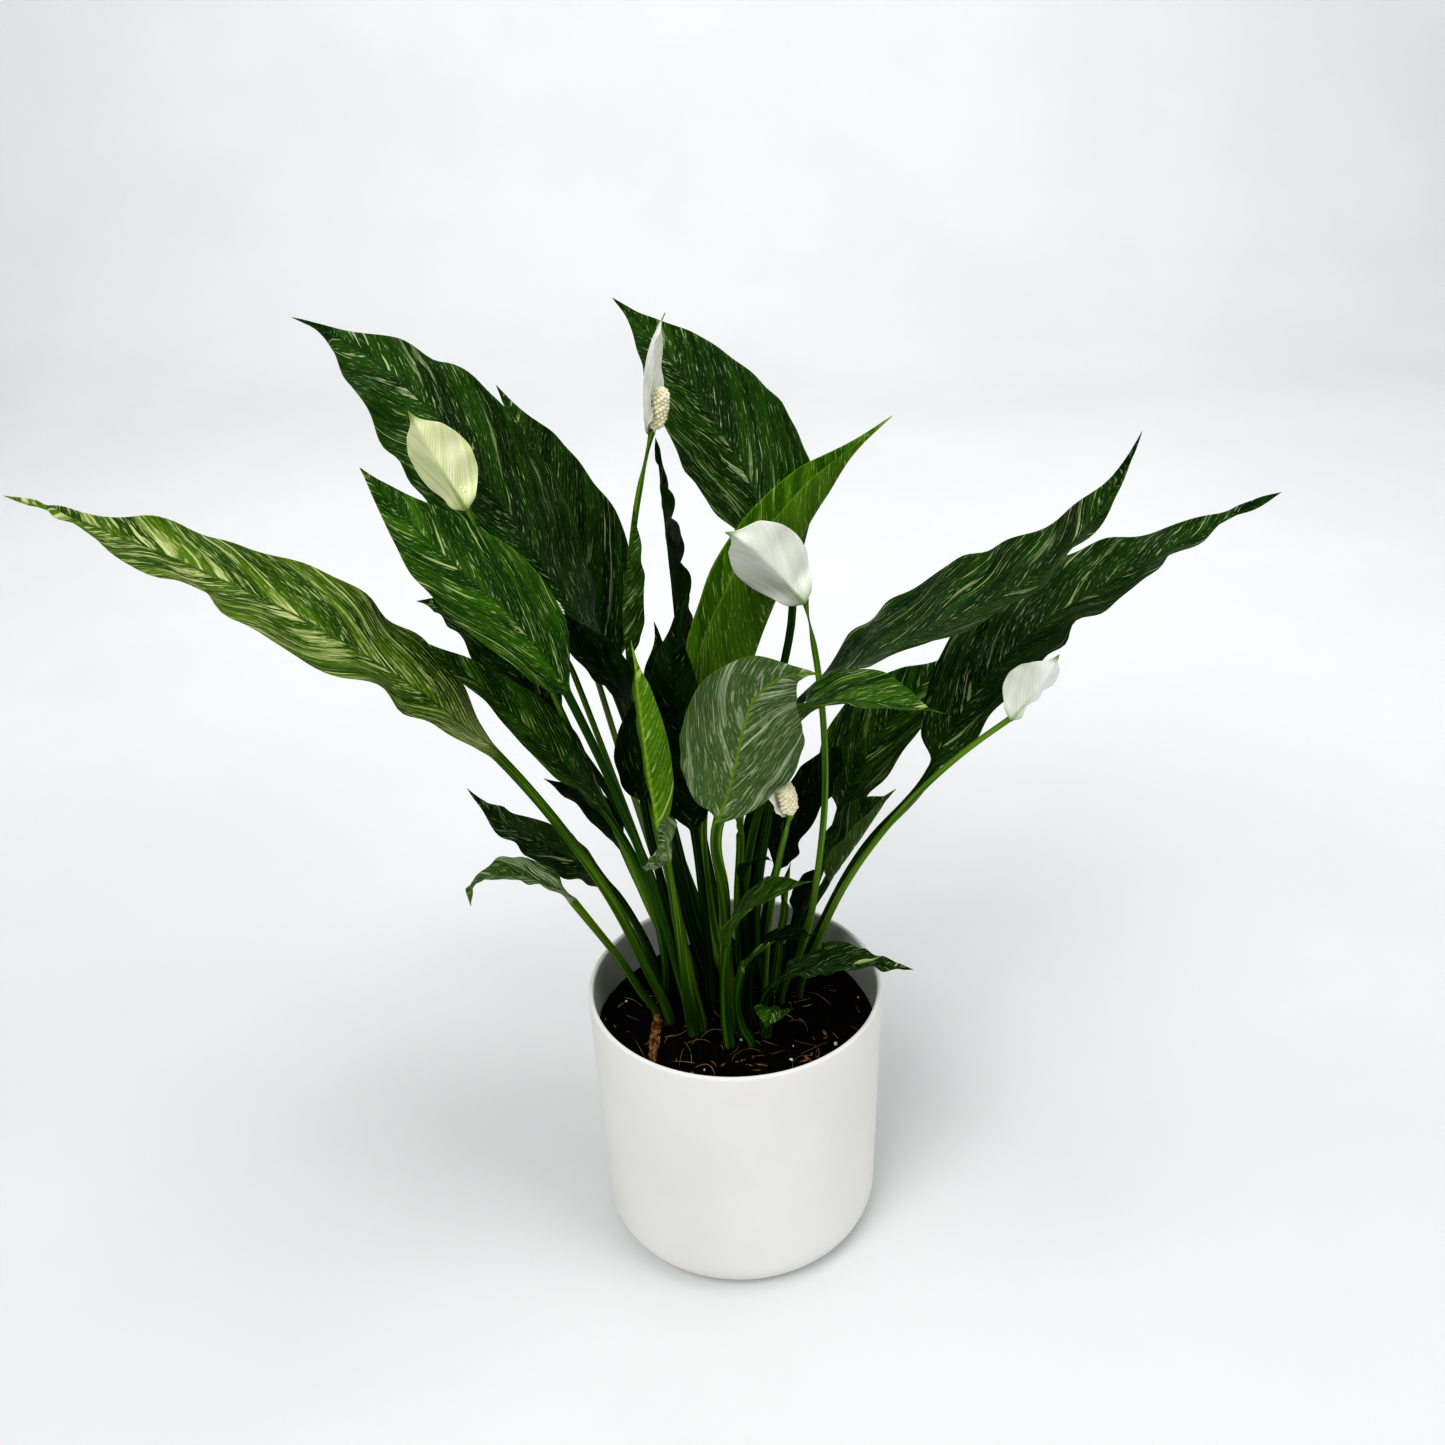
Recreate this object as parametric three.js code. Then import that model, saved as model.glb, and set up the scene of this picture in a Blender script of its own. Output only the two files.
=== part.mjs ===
// Potted variegated peace lily in a plain round cover pot.
// Units are millimetres, +Z is up, the origin is the centre of the pot's flat foot.
// The front of the plant faces -Y.

import * as THREE from "three";

// ---------------------------------------------------------------------------
// Driving dimensions
// ---------------------------------------------------------------------------

const POT_HEIGHT = 146;
const POT_RIM_RADIUS = 75;
const POT_FOOT_CORNER = 20;
const POT_WALL = 2.7;
const POT_TAPER = 0.019;
const POT_SEGMENTS = 48;

const SOIL_TOP = 122;
const GAP = 0.4;

const BLADE_THICKNESS = 1.2;
const SPATHE_THICKNESS = 1.2;
const PETIOLE_RADIUS = 2.1;
const PETIOLE_GROOVE = 0.72;
const STALK_RADIUS = 1.5;
const SPADIX_ANGLE = 20;

// How far along a leaf blade and a spathe the widest place lies.
const LEAF_WIDEST = 0.38;
const SPATHE_WIDEST = 0.42;

// Stations along a petiole and along a blade, as fractions of their lengths.
const PETIOLE_STATIONS = [0, 0.15, 0.4, 0.7, 1];
const BLADE_STATIONS = [0.06, 0.16, 0.3, 0.45, 0.6, 0.74, 0.87, 0.95];
const STALK_STATIONS = [0, 0.15, 0.35, 0.55, 0.75, 0.9, 1];

// Every leaf grows from a shoot on the soil. heading is the compass direction the
// petiole leans towards in degrees from +X, turn how far the blade bends off it at the
// joint, swing the further change along the blade, and lean the angle from vertical at
// the crown, the joint, mid-blade and the tip. roll turns the blade about its midrib at
// the joint, the middle and the tip, fold lifts both halves of the blade into a V, near
// the joint and at the tip, and wave is the height and number of ripples of the margin.
const LEAVES = [
  {
    name: "leaf_far_left", shoot: [-34, -2], heading: 185, turn: 8, swing: -30,
    lean: [13, 35, 59, 77], petiole: 178, blade: 248, width: 52,
    roll: [-15, -20, 5], fold: [15, 15], radius: 2.5, wave: [5, 3.5],
  },
  {
    name: "leaf_back_left", shoot: [-16, 33], heading: 145, turn: 35, swing: -40,
    lean: [12, 23, 35, 87], petiole: 182, blade: 246, width: 70,
    roll: [-15, -30, -20], fold: [0, 0], radius: 2.5, wave: [2, 3],
  },
  {
    name: "leaf_behind_left", shoot: [-4, 38], heading: 132, turn: -1, swing: -1,
    lean: [32, 25, 27, 49], petiole: 175, blade: 165, width: 62,
    roll: [0, 0, 0], fold: [20, 15], wave: [2, 2],
  },
  {
    name: "leaf_left_front", shoot: [-24, -2], heading: 186, turn: -4, swing: -31,
    lean: [7, 21, 49, 44], petiole: 199, blade: 137, width: 52,
    roll: [-20, -25, -20], fold: [10, 10], wave: [0, 2],
  },
  {
    name: "leaf_left_under", shoot: [-31, 20], heading: 165, turn: -3, swing: -16,
    lean: [0, 37, 45, 99], petiole: 169, blade: 100, width: 42,
    roll: [-10, -10, 0], fold: [20, 15], wave: [2, 2],
  },
  {
    name: "leaf_low_left_long", shoot: [-37, 10], heading: 176, turn: 15, swing: -9,
    lean: [-7, 30, 38, 50], petiole: 125, blade: 130, width: 34,
    roll: [-25, -25, -10], fold: [20, 15], wave: [1, 2],
  },
  {
    name: "leaf_dark_mid", shoot: [-12, 15], heading: 162, turn: 21, swing: -14,
    lean: [12, 13, 48, 27], petiole: 165, blade: 89, width: 34,
    roll: [-10, -10, 0], fold: [20, 15], wave: [1, 2],
  },
  {
    name: "leaf_stalk_side", shoot: [-8, 20], heading: 148, turn: 18, swing: 5,
    lean: [16, 11, -11, -7], petiole: 191, blade: 80, width: 24,
    roll: [20, 20, 20], fold: [50, 40], wave: [0, 2],
  },
  {
    name: "leaf_edge_on", shoot: [2, 34], heading: 118, turn: -10, swing: -9,
    lean: [35, 3, 20, 31], petiole: 161, blade: 132, width: 44,
    roll: [75, 80, 75], fold: [20, 15], wave: [3, 3],
  },
  {
    name: "leaf_dark_center", shoot: [-17, 4], heading: 171, turn: 1, swing: 0,
    lean: [16, 6, -21, 12], petiole: 130, blade: 96, width: 34,
    roll: [-60, -60, -60], fold: [20, 15], wave: [1, 2],
  },
  {
    name: "leaf_core", shoot: [-13, 9], heading: 60, turn: -10, swing: -5,
    lean: [0, -9, -7, 22], petiole: 114, blade: 126, width: 32,
    roll: [38, 38, 38], fold: [20, 15], wave: [2, 2],
  },
  {
    name: "leaf_back_centre", shoot: [8, 32], heading: 66, turn: 80, swing: -2,
    lean: [14, 21, 38, 58], petiole: 218, blade: 170, width: 72,
    roll: [-10, -20, -20], fold: [15, 10], wave: [1, 2],
  },
  {
    name: "leaf_right_tall", shoot: [0, 10], heading: -59, turn: 60, swing: 8,
    lean: [-37, 23, 20, 48], petiole: 147, blade: 190, width: 72,
    roll: [0, 0, 0], fold: [60, 50], radius: 2.8, wave: [0, 2],
  },
  {
    name: "leaf_front_grey", shoot: [-4, -8], heading: -93, turn: 84, swing: -26,
    lean: [1, 18, 11, 87], petiole: 140, blade: 105, width: 57,
    roll: [-80, -80, -60], fold: [15, 10], radius: 2.8, wave: [1, 2],
  },
  {
    name: "leaf_front_narrow", shoot: [-18, -8], heading: -132, turn: -14, swing: -1,
    lean: [10, 9, 4, 4], petiole: 131, blade: 100, width: 22,
    roll: [20, 20, 20], fold: [40, 30], wave: [0, 2],
  },
  {
    name: "leaf_small_edge", shoot: [-22, -12], heading: -101, turn: 6, swing: 1,
    lean: [14, 18, 62, 88], petiole: 132, blade: 53, width: 26,
    roll: [60, 70, 60], fold: [10, 10], wave: [2, 2],
  },
  {
    name: "leaf_curled_low_left", shoot: [-41, 4], heading: 209, turn: -4, swing: -56,
    lean: [22, 29, 80, 186], petiole: 95, blade: 72, width: 22,
    roll: [0, 0, 0], fold: [20, 20], wave: [0, 2],
  },
  {
    name: "leaf_low_left_dark", shoot: [-38, 16], heading: 165, turn: 27, swing: -16,
    lean: [4, 37, 58, 31], petiole: 74, blade: 92, width: 30,
    roll: [-15, -15, -10], fold: [5, 5], wave: [1, 2],
  },
  {
    name: "leaf_low_left_behind", shoot: [-25, 36], heading: 161, turn: 15, swing: -3,
    lean: [28, 19, 46, 60], petiole: 82, blade: 59, width: 24,
    roll: [-10, -10, 0], fold: [15, 15], wave: [1, 2],
  },
  {
    name: "leaf_right_upper", shoot: [14, 18], heading: 58, turn: -93, swing: 38,
    lean: [-14, 47, 62, 14], petiole: 169, blade: 219, width: 70,
    roll: [10, 10, 10], fold: [15, 20], wave: [2, 2.5],
  },
  {
    name: "leaf_right_lower", shoot: [32, 22], heading: -3, turn: 50, swing: -62,
    lean: [15, 39, 66, 56], petiole: 151, blade: 221, width: 60,
    roll: [5, 5, 5], fold: [20, 20], radius: 2.6, wave: [3, 3.5],
  },
  {
    name: "leaf_right_short", shoot: [6, 8], heading: -43, turn: 8, swing: 23,
    lean: [-7, 28, 86, 99], petiole: 181, blade: 79, width: 42,
    roll: [0, 0, 0], fold: [25, 20], wave: [1, 2],
  },
  {
    name: "leaf_right_back", shoot: [24, 40], heading: 34, turn: -10, swing: 11,
    lean: [33, 20, 48, 63], petiole: 95, blade: 107, width: 52,
    roll: [15, 15, 15], fold: [25, 20], wave: [1, 2],
  },
  {
    name: "leaf_right_low", shoot: [34, 30], heading: 8, turn: -12, swing: -2,
    lean: [-6, 35, 29, 34], petiole: 65, blade: 65, width: 40,
    roll: [0, 0, 0], fold: [40, 40], wave: [1, 2],
  },
  {
    name: "leaf_dark_right", shoot: [14, 28], heading: 41, turn: -10, swing: -4,
    lean: [-3, 25, 38, 33], petiole: 69, blade: 85, width: 30,
    roll: [10, 10, 10], fold: [25, 20], wave: [2, 2],
  },
  {
    name: "leaf_dark_strap", shoot: [8, 24], heading: 84, turn: -28, swing: -9,
    lean: [19, 11, 11, 23], petiole: 49, blade: 73, width: 16,
    roll: [0, 0, 0], fold: [25, 20], wave: [1, 2],
  },
  {
    name: "leaf_front_small", shoot: [-4, -22], heading: -61, turn: 37, swing: 7,
    lean: [-11, 12, 49, 66], petiole: 62, blade: 67, width: 30,
    roll: [0, 0, 0], fold: [20, 20], wave: [1, 2],
  },
  {
    name: "leaf_front_tiny", shoot: [9, -9], heading: -18, turn: -15, swing: 8,
    lean: [-18, 26, 69, 64], petiole: 50, blade: 39, width: 16,
    roll: [0, 0, 0], fold: [20, 20], wave: [1, 2],
  },
  {
    name: "leaf_front_long", shoot: [15, -8], heading: -50, turn: 13, swing: 18,
    lean: [-18, 40, 67, 89], petiole: 30, blade: 84, width: 30,
    roll: [0, 0, 0], fold: [20, 20], wave: [2, 2.5],
  },
  {
    name: "leaf_heart", shoot: [15, -14], heading: -72, turn: -31, swing: -5,
    lean: [14, 43, 82, 106], petiole: 30, blade: 22, width: 18,
    roll: [0, 0, 0], fold: [10, 10], wave: [0, 2],
  },
  {
    name: "leaf_front_inner", shoot: [7, -20], heading: -3, turn: -25, swing: -3,
    lean: [-28, 18, 45, 40], petiole: 45, blade: 32, width: 12,
    roll: [0, 0, 0], fold: [20, 20], wave: [0, 2],
  },
  {
    name: "leaf_spike", shoot: [20, 22], heading: 44, turn: -6, swing: -1,
    lean: [12, 11, 10, 9], petiole: 50, blade: 25, width: 6,
    roll: [0, 0, 0], fold: [60, 60], wave: [0, 2],
  },
  {
    name: "leaf_right_rim", shoot: [28, 28], heading: 42, turn: -21, swing: -2,
    lean: [3, 18, 36, 40], petiole: 40, blade: 34, width: 18,
    roll: [0, 0, 0], fold: [20, 20], wave: [1, 2],
  },
  {
    name: "leaf_mid_narrow", shoot: [5, 17], heading: 0, turn: 5, swing: 0,
    lean: [-6, 6, 3, 6], petiole: 100, blade: 45, width: 14,
    roll: [0, 0, 0], fold: [30, 30], wave: [0, 2],
  },
  {
    name: "leaf_mid_curled", shoot: [10, -2], heading: -5, turn: -30, swing: -5,
    lean: [-11, 5, 42, 93], petiole: 86, blade: 28, width: 12,
    roll: [0, 0, 0], fold: [20, 20], wave: [1, 2],
  },
];

// Every flower is a bare stalk that carries one spathe and, in front of it, the spadix.
// heading and lean describe the stalk; nod, tilt and roll the way the spathe turns.
const FLOWERS = [
  {
    name: "flower_cream_left", shoot: [-22, 12], heading: 167, lean: [19, 20], stalk: 284,
    nod: 178, tilt: [27, 24, 23], roll: 90, spathe: 51, width: 34, fold: [40, 25], spadix: 26,
  },
  {
    name: "flower_top", shoot: [-14, 40], heading: 143, lean: [28, -20], stalk: 304,
    nod: 27, tilt: [-7, 9, 39], roll: 140, spathe: 56, width: 24, fold: [35, 20], spadix: 22,
  },
  {
    name: "flower_large_white", shoot: [24, 11], heading: -17, lean: [19, -12], stalk: 231,
    nod: 207, tilt: [40, 37, 61], roll: 70, spathe: 58, width: 38, fold: [35, 25], spadix: 26,
  },
  {
    name: "flower_right", shoot: [34, 14], heading: -4, lean: [10, 52], stalk: 197,
    nod: -10, tilt: [36, 32, 19], roll: -70, spathe: 40, width: 30, fold: [45, 30], spadix: 20,
  },
  {
    name: "flower_small_front", shoot: [15, 4], heading: -57, lean: [1, 20], stalk: 132,
    nod: 180, tilt: [24, 24, 25], roll: -40, spathe: 40, width: 20, fold: [30, 20], spadix: 20,
  },
  {
    name: "flower_hidden_left", shoot: [-25, 28], heading: 167, lean: [14, 17], stalk: 207,
    nod: 179, tilt: [29, 26, 29], roll: 0, spathe: 36, width: 18, fold: [40, 25], spadix: 18,
  },
];

// ---------------------------------------------------------------------------
// Growth model
// ---------------------------------------------------------------------------

const radians = (degrees) => degrees * Math.PI / 180;

const mix = (from, to, share) => from + (to - from) * share;

const smooth = (value) => {
  const share = Math.min(Math.max(value, 0), 1);
  return share * share * (3 - 2 * share);
};

// Value at a share of the way along three settings spread evenly over the blade.
const alongThree = (settings, share) => (
  share < 0.5
    ? mix(settings[0], settings[1], share * 2)
    : mix(settings[1], settings[2], share * 2 - 1)
);

// Direction of growth for a compass heading and an angle from vertical.
const growthDirection = (heading, lean) => new THREE.Vector3(
  Math.sin(radians(lean)) * Math.cos(radians(heading)),
  Math.sin(radians(lean)) * Math.sin(radians(heading)),
  Math.cos(radians(lean)),
);

// Frame on a growing axis: direction of growth, left side and upper face.
const growthFrame = (point, heading, lean, roll) => {
  const along = growthDirection(heading, lean);
  const left = new THREE.Vector3(-Math.sin(radians(heading)), Math.cos(radians(heading)), 0);
  const up = new THREE.Vector3().crossVectors(along, left);
  const side = left.clone().multiplyScalar(Math.cos(radians(roll)));
  side.addScaledVector(up, Math.sin(radians(roll)));
  const face = new THREE.Vector3().crossVectors(along, side);
  return { point, along, side, face };
};

// Walks a length from a start point, heading and lean being functions of the share walked.
const walk = (start, length, shares, headingAt, leanAt) => {
  const stops = [];
  const point = start.clone();
  const steps = 60;
  let walked = 0;
  for (const share of shares) {
    while (walked < share * steps - 1e-6) {
      const middle = (walked + 0.5) / steps;
      const direction = growthDirection(headingAt(middle), leanAt(middle));
      const stride = Math.min(1, share * steps - walked);
      point.addScaledVector(direction, stride * length / steps);
      walked += stride;
    }
    stops.push(point.clone());
  }
  return stops;
};

// Relative width of a blade: rounded base, long drawn-out tip, widest at the given share.
const bladeOutline = (share, widest) => {
  const basePower = 0.75;
  const tipPower = basePower * (1 - widest) / widest;
  const rise = Math.pow(share / widest, basePower);
  const fall = Math.pow((1 - share) / (1 - widest), tipPower);
  return rise * fall;
};

// ---------------------------------------------------------------------------
// Closed skins
// ---------------------------------------------------------------------------

// Eight points round a stem section; groove flattens the upper face, where 1 leaves it round.
const roundRing = (frame, sideRadius, faceRadius, groove = 1) => {
  const ring = [];
  for (let index = 0; index < 8; index += 1) {
    const angle = index * Math.PI / 4;
    const reach = index === 2 ? groove : 1;
    const point = frame.point.clone();
    point.addScaledVector(frame.side, Math.cos(angle) * sideRadius);
    point.addScaledVector(frame.face, Math.sin(angle) * faceRadius * reach);
    ring.push(point);
  }
  return ring;
};

// Eight points round a blade section: edge, upper face, edge, lower face.
const bladeRing = (frame, section) => {
  const { half, fold, arch, midHeight, sideHeight, flatness, ripple } = section;
  const place = (across, height) => {
    const reach = Math.abs(across);
    const lift = radians(fold + arch * (1 - reach));
    const point = frame.point.clone();
    point.addScaledVector(frame.side, across * half * Math.cos(lift));
    const rise = reach * half * Math.sin(lift) + ripple * across * reach;
    point.addScaledVector(frame.face, rise + height);
    return point;
  };
  const inner = mix(Math.SQRT1_2, 0.5, flatness);
  return [
    place(1, 0),
    place(inner, sideHeight),
    place(0, midHeight),
    place(-inner, sideHeight),
    place(-1, 0),
    place(-inner, -sideHeight),
    place(0, -midHeight),
    place(inner, -sideHeight),
  ];
};

// Closed surface through a row of rings, capped flat at the start, pointed at the end.
// The diagonals of the lower half mirror those of the upper half, so that both faces of a
// twisted blade bend along the same lines and stay the same distance apart.
const skin = (rings, startCentre, endPoint) => {
  const positions = [];
  const indices = [];
  const count = rings[0].length;
  for (const ring of rings) {
    for (const point of ring) {
      positions.push(point.x, point.y, point.z);
    }
  }
  for (let row = 0; row + 1 < rings.length; row += 1) {
    for (let index = 0; index < count; index += 1) {
      const next = (index + 1) % count;
      const here = row * count;
      const above = here + count;
      if (index < count / 2) {
        indices.push(here + index, here + next, above + next);
        indices.push(here + index, above + next, above + index);
      } else {
        indices.push(here + index, here + next, above + index);
        indices.push(here + next, above + next, above + index);
      }
    }
  }
  const startIndex = rings.length * count;
  const endIndex = startIndex + 1;
  positions.push(startCentre.x, startCentre.y, startCentre.z);
  positions.push(endPoint.x, endPoint.y, endPoint.z);
  const last = (rings.length - 1) * count;
  for (let index = 0; index < count; index += 1) {
    const next = (index + 1) % count;
    indices.push(startIndex, next, index);
    indices.push(last + index, last + next, endIndex);
  }
  const geometry = new THREE.BufferGeometry();
  geometry.setAttribute("position", new THREE.Float32BufferAttribute(positions, 3));
  geometry.setIndex(indices);
  geometry.computeVertexNormals();
  return geometry;
};

const finish = (name, geometry, colour, roughness, metalness = 0) => {
  const material = new THREE.MeshStandardMaterial({ color: colour, roughness, metalness });
  material.name = name;
  const mesh = new THREE.Mesh(geometry, material);
  mesh.name = name;
  return mesh;
};

// ---------------------------------------------------------------------------
// Sub-assemblies
// ---------------------------------------------------------------------------

// Blade rings from a joint outwards; shared by leaves and spathes. The blade sets out
// towards a heading, swings from it, and takes its lean and roll from three settings.
const bladeRings = (start, blade, stemRadius, thickness) => {
  const { heading, swing, leans, rolls, length, width, fold, wave, widest, arch } = blade;
  const headingAt = (share) => heading + swing * share;
  const leanAt = (share) => alongThree(leans, share);
  const shares = [...BLADE_STATIONS, 1];
  const stops = walk(start, length, shares, headingAt, leanAt);
  const rings = BLADE_STATIONS.map((share, index) => {
    const roll = alongThree(rolls, share);
    const frame = growthFrame(stops[index], headingAt(share), leanAt(share), roll);
    const flatness = smooth(share / 0.14);
    const outline = 0.5 * width * bladeOutline(share, widest);
    return bladeRing(frame, {
      half: Math.hypot(outline, stemRadius * (1 - smooth(share / 0.2))),
      fold: mix(fold[0], fold[1], share) * flatness,
      arch: arch * flatness,
      midHeight: mix(mix(stemRadius, thickness * 0.8, smooth(share / 0.3)), thickness * 0.4, share),
      sideHeight: mix(stemRadius * Math.SQRT1_2, thickness * 0.5, flatness),
      flatness,
      ripple: wave[0] * Math.sin(2 * Math.PI * wave[1] * share) * flatness,
    });
  });
  return { rings, tip: stops[stops.length - 1] };
};

// A leaf grown as one piece: sheathed petiole, joint, folded blade and drawn-out tip.
const leafGeometry = (growth) => {
  const radius = growth.radius ?? PETIOLE_RADIUS;
  const start = new THREE.Vector3(growth.shoot[0], growth.shoot[1], SOIL_TOP + GAP);
  const headingAt = () => growth.heading;
  const leanAt = (share) => mix(growth.lean[0], growth.lean[1], share);
  const stops = walk(start, growth.petiole, PETIOLE_STATIONS, headingAt, leanAt);
  const rings = PETIOLE_STATIONS.map((share, index) => {
    const lean = index === 0 ? 0 : leanAt(share);
    const roll = growth.roll[0] * smooth((share - 0.4) / 0.6);
    const frame = growthFrame(stops[index], growth.heading, lean, roll);
    const sheath = 1 + 0.5 * (1 - smooth(share / 0.6));
    const groove = mix(PETIOLE_GROOVE, 1, smooth((share - 0.5) / 0.5));
    return roundRing(frame, radius * sheath, radius * mix(sheath, 1, 0.5), groove);
  });
  const blade = {
    heading: growth.heading + growth.turn,
    swing: growth.swing,
    leans: growth.lean.slice(1),
    rolls: growth.roll,
    length: growth.blade,
    width: growth.width,
    fold: growth.fold,
    wave: growth.wave,
    widest: LEAF_WIDEST,
    arch: -12,
  };
  const grown = bladeRings(stops[stops.length - 1], blade, radius, BLADE_THICKNESS);
  return skin([...rings, ...grown.rings], start, grown.tip);
};

const leafMesh = (growth) => finish(
  growth.name, leafGeometry(growth), growth.colour ?? 0x2f5220, 0.45,
);

// The bare stalk below a flower, cut square at the top where the spathe sits.
const stalkGeometry = (growth, radius) => {
  const start = new THREE.Vector3(growth.shoot[0], growth.shoot[1], SOIL_TOP + GAP);
  const leanAt = (share) => mix(growth.lean[0], growth.lean[1], share);
  const headingAt = () => growth.heading;
  const stops = walk(start, growth.stalk, STALK_STATIONS, headingAt, leanAt);
  const rings = STALK_STATIONS.map((share, index) => {
    const lean = index === 0 ? 0 : leanAt(share);
    const frame = growthFrame(stops[index], growth.heading, lean, 0);
    const thickness = radius * mix(1.25, 0.95, share);
    return roundRing(frame, thickness, thickness);
  });
  return { geometry: skin(rings, start, stops[stops.length - 1]), top: stops[stops.length - 1] };
};

// A petal-like spathe: a cupped blade without a petiole.
const spatheGeometry = (growth, top) => {
  const frame = growthFrame(top, growth.nod, growth.tilt[0], growth.roll);
  const start = top.clone();
  start.addScaledVector(frame.along, GAP + 0.8);
  start.addScaledVector(frame.face, -1.2);
  const blade = {
    heading: growth.nod,
    swing: 0,
    leans: growth.tilt,
    rolls: [growth.roll, growth.roll, growth.roll],
    length: growth.spathe,
    width: growth.width,
    fold: growth.fold,
    wave: [0, 1],
    widest: SPATHE_WIDEST,
    arch: 10,
  };
  const grown = bladeRings(start, blade, 1.2, SPATHE_THICKNESS);
  const base = roundRing({ ...frame, point: start }, 1.2, 0.7, PETIOLE_GROOVE);
  return skin([base, ...grown.rings], start, grown.tip);
};

// The knobbly spadix in front of the spathe, as its plain rounded core.
const spadixGeometry = (growth, top) => {
  const frame = growthFrame(top, growth.nod, growth.tilt[0], growth.roll);
  const apart = radians(SPADIX_ANGLE);
  const lengthwise = frame.along.clone().multiplyScalar(Math.cos(apart));
  lengthwise.addScaledVector(frame.face, Math.sin(apart));
  const start = top.clone();
  start.addScaledVector(frame.along, GAP + 0.8);
  start.addScaledVector(frame.face, 1.6);
  const across = frame.side;
  const face = new THREE.Vector3().crossVectors(lengthwise, across).normalize();
  const radius = growth.spadix * 0.14;
  const profile = [[0, 0.25], [0.14, 0.4], [0.28, 0.9], [0.55, 1], [0.82, 0.85], [0.94, 0.5]];
  const rings = profile.map(([share, girth]) => {
    const point = start.clone().addScaledVector(lengthwise, share * growth.spadix);
    return roundRing({ point, side: across, face }, radius * girth, radius * girth);
  });
  const end = start.clone().addScaledVector(lengthwise, growth.spadix);
  return skin(rings, start, end);
};

const flowerMeshes = (growth) => {
  const stalk = stalkGeometry(growth, STALK_RADIUS);
  return [
    finish(`${growth.name}_stalk`, stalk.geometry, 0x6f9a35, 0.5),
    finish(`${growth.name}_spathe`, spatheGeometry(growth, stalk.top), growth.colour ?? 0xf4f3ea, 0.55),
    finish(`${growth.name}_spadix`, spadixGeometry(growth, stalk.top), 0xefe6bd, 0.7),
  ];
};

// Cover pot: slightly tapering wall, large rounded foot corner, soft rim.
const potMesh = () => {
  const wallRadius = (height) => POT_RIM_RADIUS - POT_TAPER * (POT_HEIGHT - height);
  const corner = wallRadius(POT_FOOT_CORNER) - POT_FOOT_CORNER;
  const profile = [new THREE.Vector2(0, 0), new THREE.Vector2(corner, 0)];
  const steps = 6;
  for (let step = 1; step <= steps; step += 1) {
    const angle = step / steps * Math.PI / 2;
    const radius = corner + POT_FOOT_CORNER * Math.sin(angle);
    profile.push(new THREE.Vector2(radius, POT_FOOT_CORNER * (1 - Math.cos(angle))));
  }
  profile.push(new THREE.Vector2(POT_RIM_RADIUS, POT_HEIGHT - 1));
  profile.push(new THREE.Vector2(POT_RIM_RADIUS - 0.8, POT_HEIGHT));
  profile.push(new THREE.Vector2(POT_RIM_RADIUS - POT_WALL + 0.6, POT_HEIGHT));
  profile.push(new THREE.Vector2(POT_RIM_RADIUS - POT_WALL, POT_HEIGHT - 0.8));
  const inner = POT_FOOT_CORNER - POT_WALL;
  for (let step = steps; step >= 0; step -= 1) {
    const angle = step / steps * Math.PI / 2;
    const radius = corner + inner * Math.sin(angle);
    profile.push(new THREE.Vector2(radius, POT_WALL + inner * (1 - Math.cos(angle))));
  }
  profile.push(new THREE.Vector2(0, POT_WALL));
  const geometry = new THREE.LatheGeometry(profile, POT_SEGMENTS);
  geometry.rotateX(Math.PI / 2);
  return finish("pot", geometry, 0xecebe6, 0.6);
};

// Potting soil: fills the pot to a gently uneven top a finger's width below the rim.
const soilMesh = () => {
  const wallRadius = (height) => (
    POT_RIM_RADIUS - POT_TAPER * (POT_HEIGHT - height) - POT_WALL - 0.6
  );
  const segments = 40;
  const bottom = POT_FOOT_CORNER + 2;
  const topHeight = (share, angle) => {
    const dips = 0.5 + 0.25 * Math.sin(3 * angle + 1) + 0.25 * Math.sin(5 * angle);
    return SOIL_TOP - 2.2 * smooth((share - 0.55) / 0.45) * dips;
  };
  const rings = [];
  const ringAt = (radius, heightAt) => {
    const ring = [];
    for (let index = 0; index < segments; index += 1) {
      const angle = index / segments * 2 * Math.PI;
      const x = Math.cos(angle) * radius;
      ring.push(new THREE.Vector3(x, Math.sin(angle) * radius, heightAt(angle)));
    }
    return ring;
  };
  rings.push(ringAt(wallRadius(bottom), () => bottom));
  for (const share of [1, 0.85, 0.65, 0.4]) {
    rings.push(ringAt(wallRadius(SOIL_TOP) * share, (angle) => topHeight(share, angle)));
  }
  const base = new THREE.Vector3(0, 0, bottom);
  const peak = new THREE.Vector3(0, 0, SOIL_TOP);
  return finish("soil", skin(rings, base, peak), 0x1d1712, 0.95);
};

// Dead flower stalk cut off square.
const stubMesh = () => {
  const growth = { shoot: [-20, 27], heading: 158, lean: [16, 13], stalk: 211 };
  return finish("stalk_stub", stalkGeometry(growth, STALK_RADIUS).geometry, 0x8aa04a, 0.6);
};

// Splinter of bark lying on the soil, one end propped up.
const barkMesh = () => {
  const outline = new THREE.Shape();
  outline.moveTo(0, -2);
  outline.lineTo(12, -3);
  outline.lineTo(26, -1.6);
  outline.lineTo(31, 0.2);
  outline.lineTo(22, 1.8);
  outline.lineTo(9, 2.2);
  outline.closePath();
  const geometry = new THREE.ExtrudeGeometry(outline, { depth: 1.8, bevelEnabled: false });
  geometry.rotateY(radians(-14));
  geometry.rotateZ(radians(82));
  geometry.translate(-44, -36, SOIL_TOP + 0.9);
  return finish("bark_chip", geometry, 0x8a6a42, 0.85);
};

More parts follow.
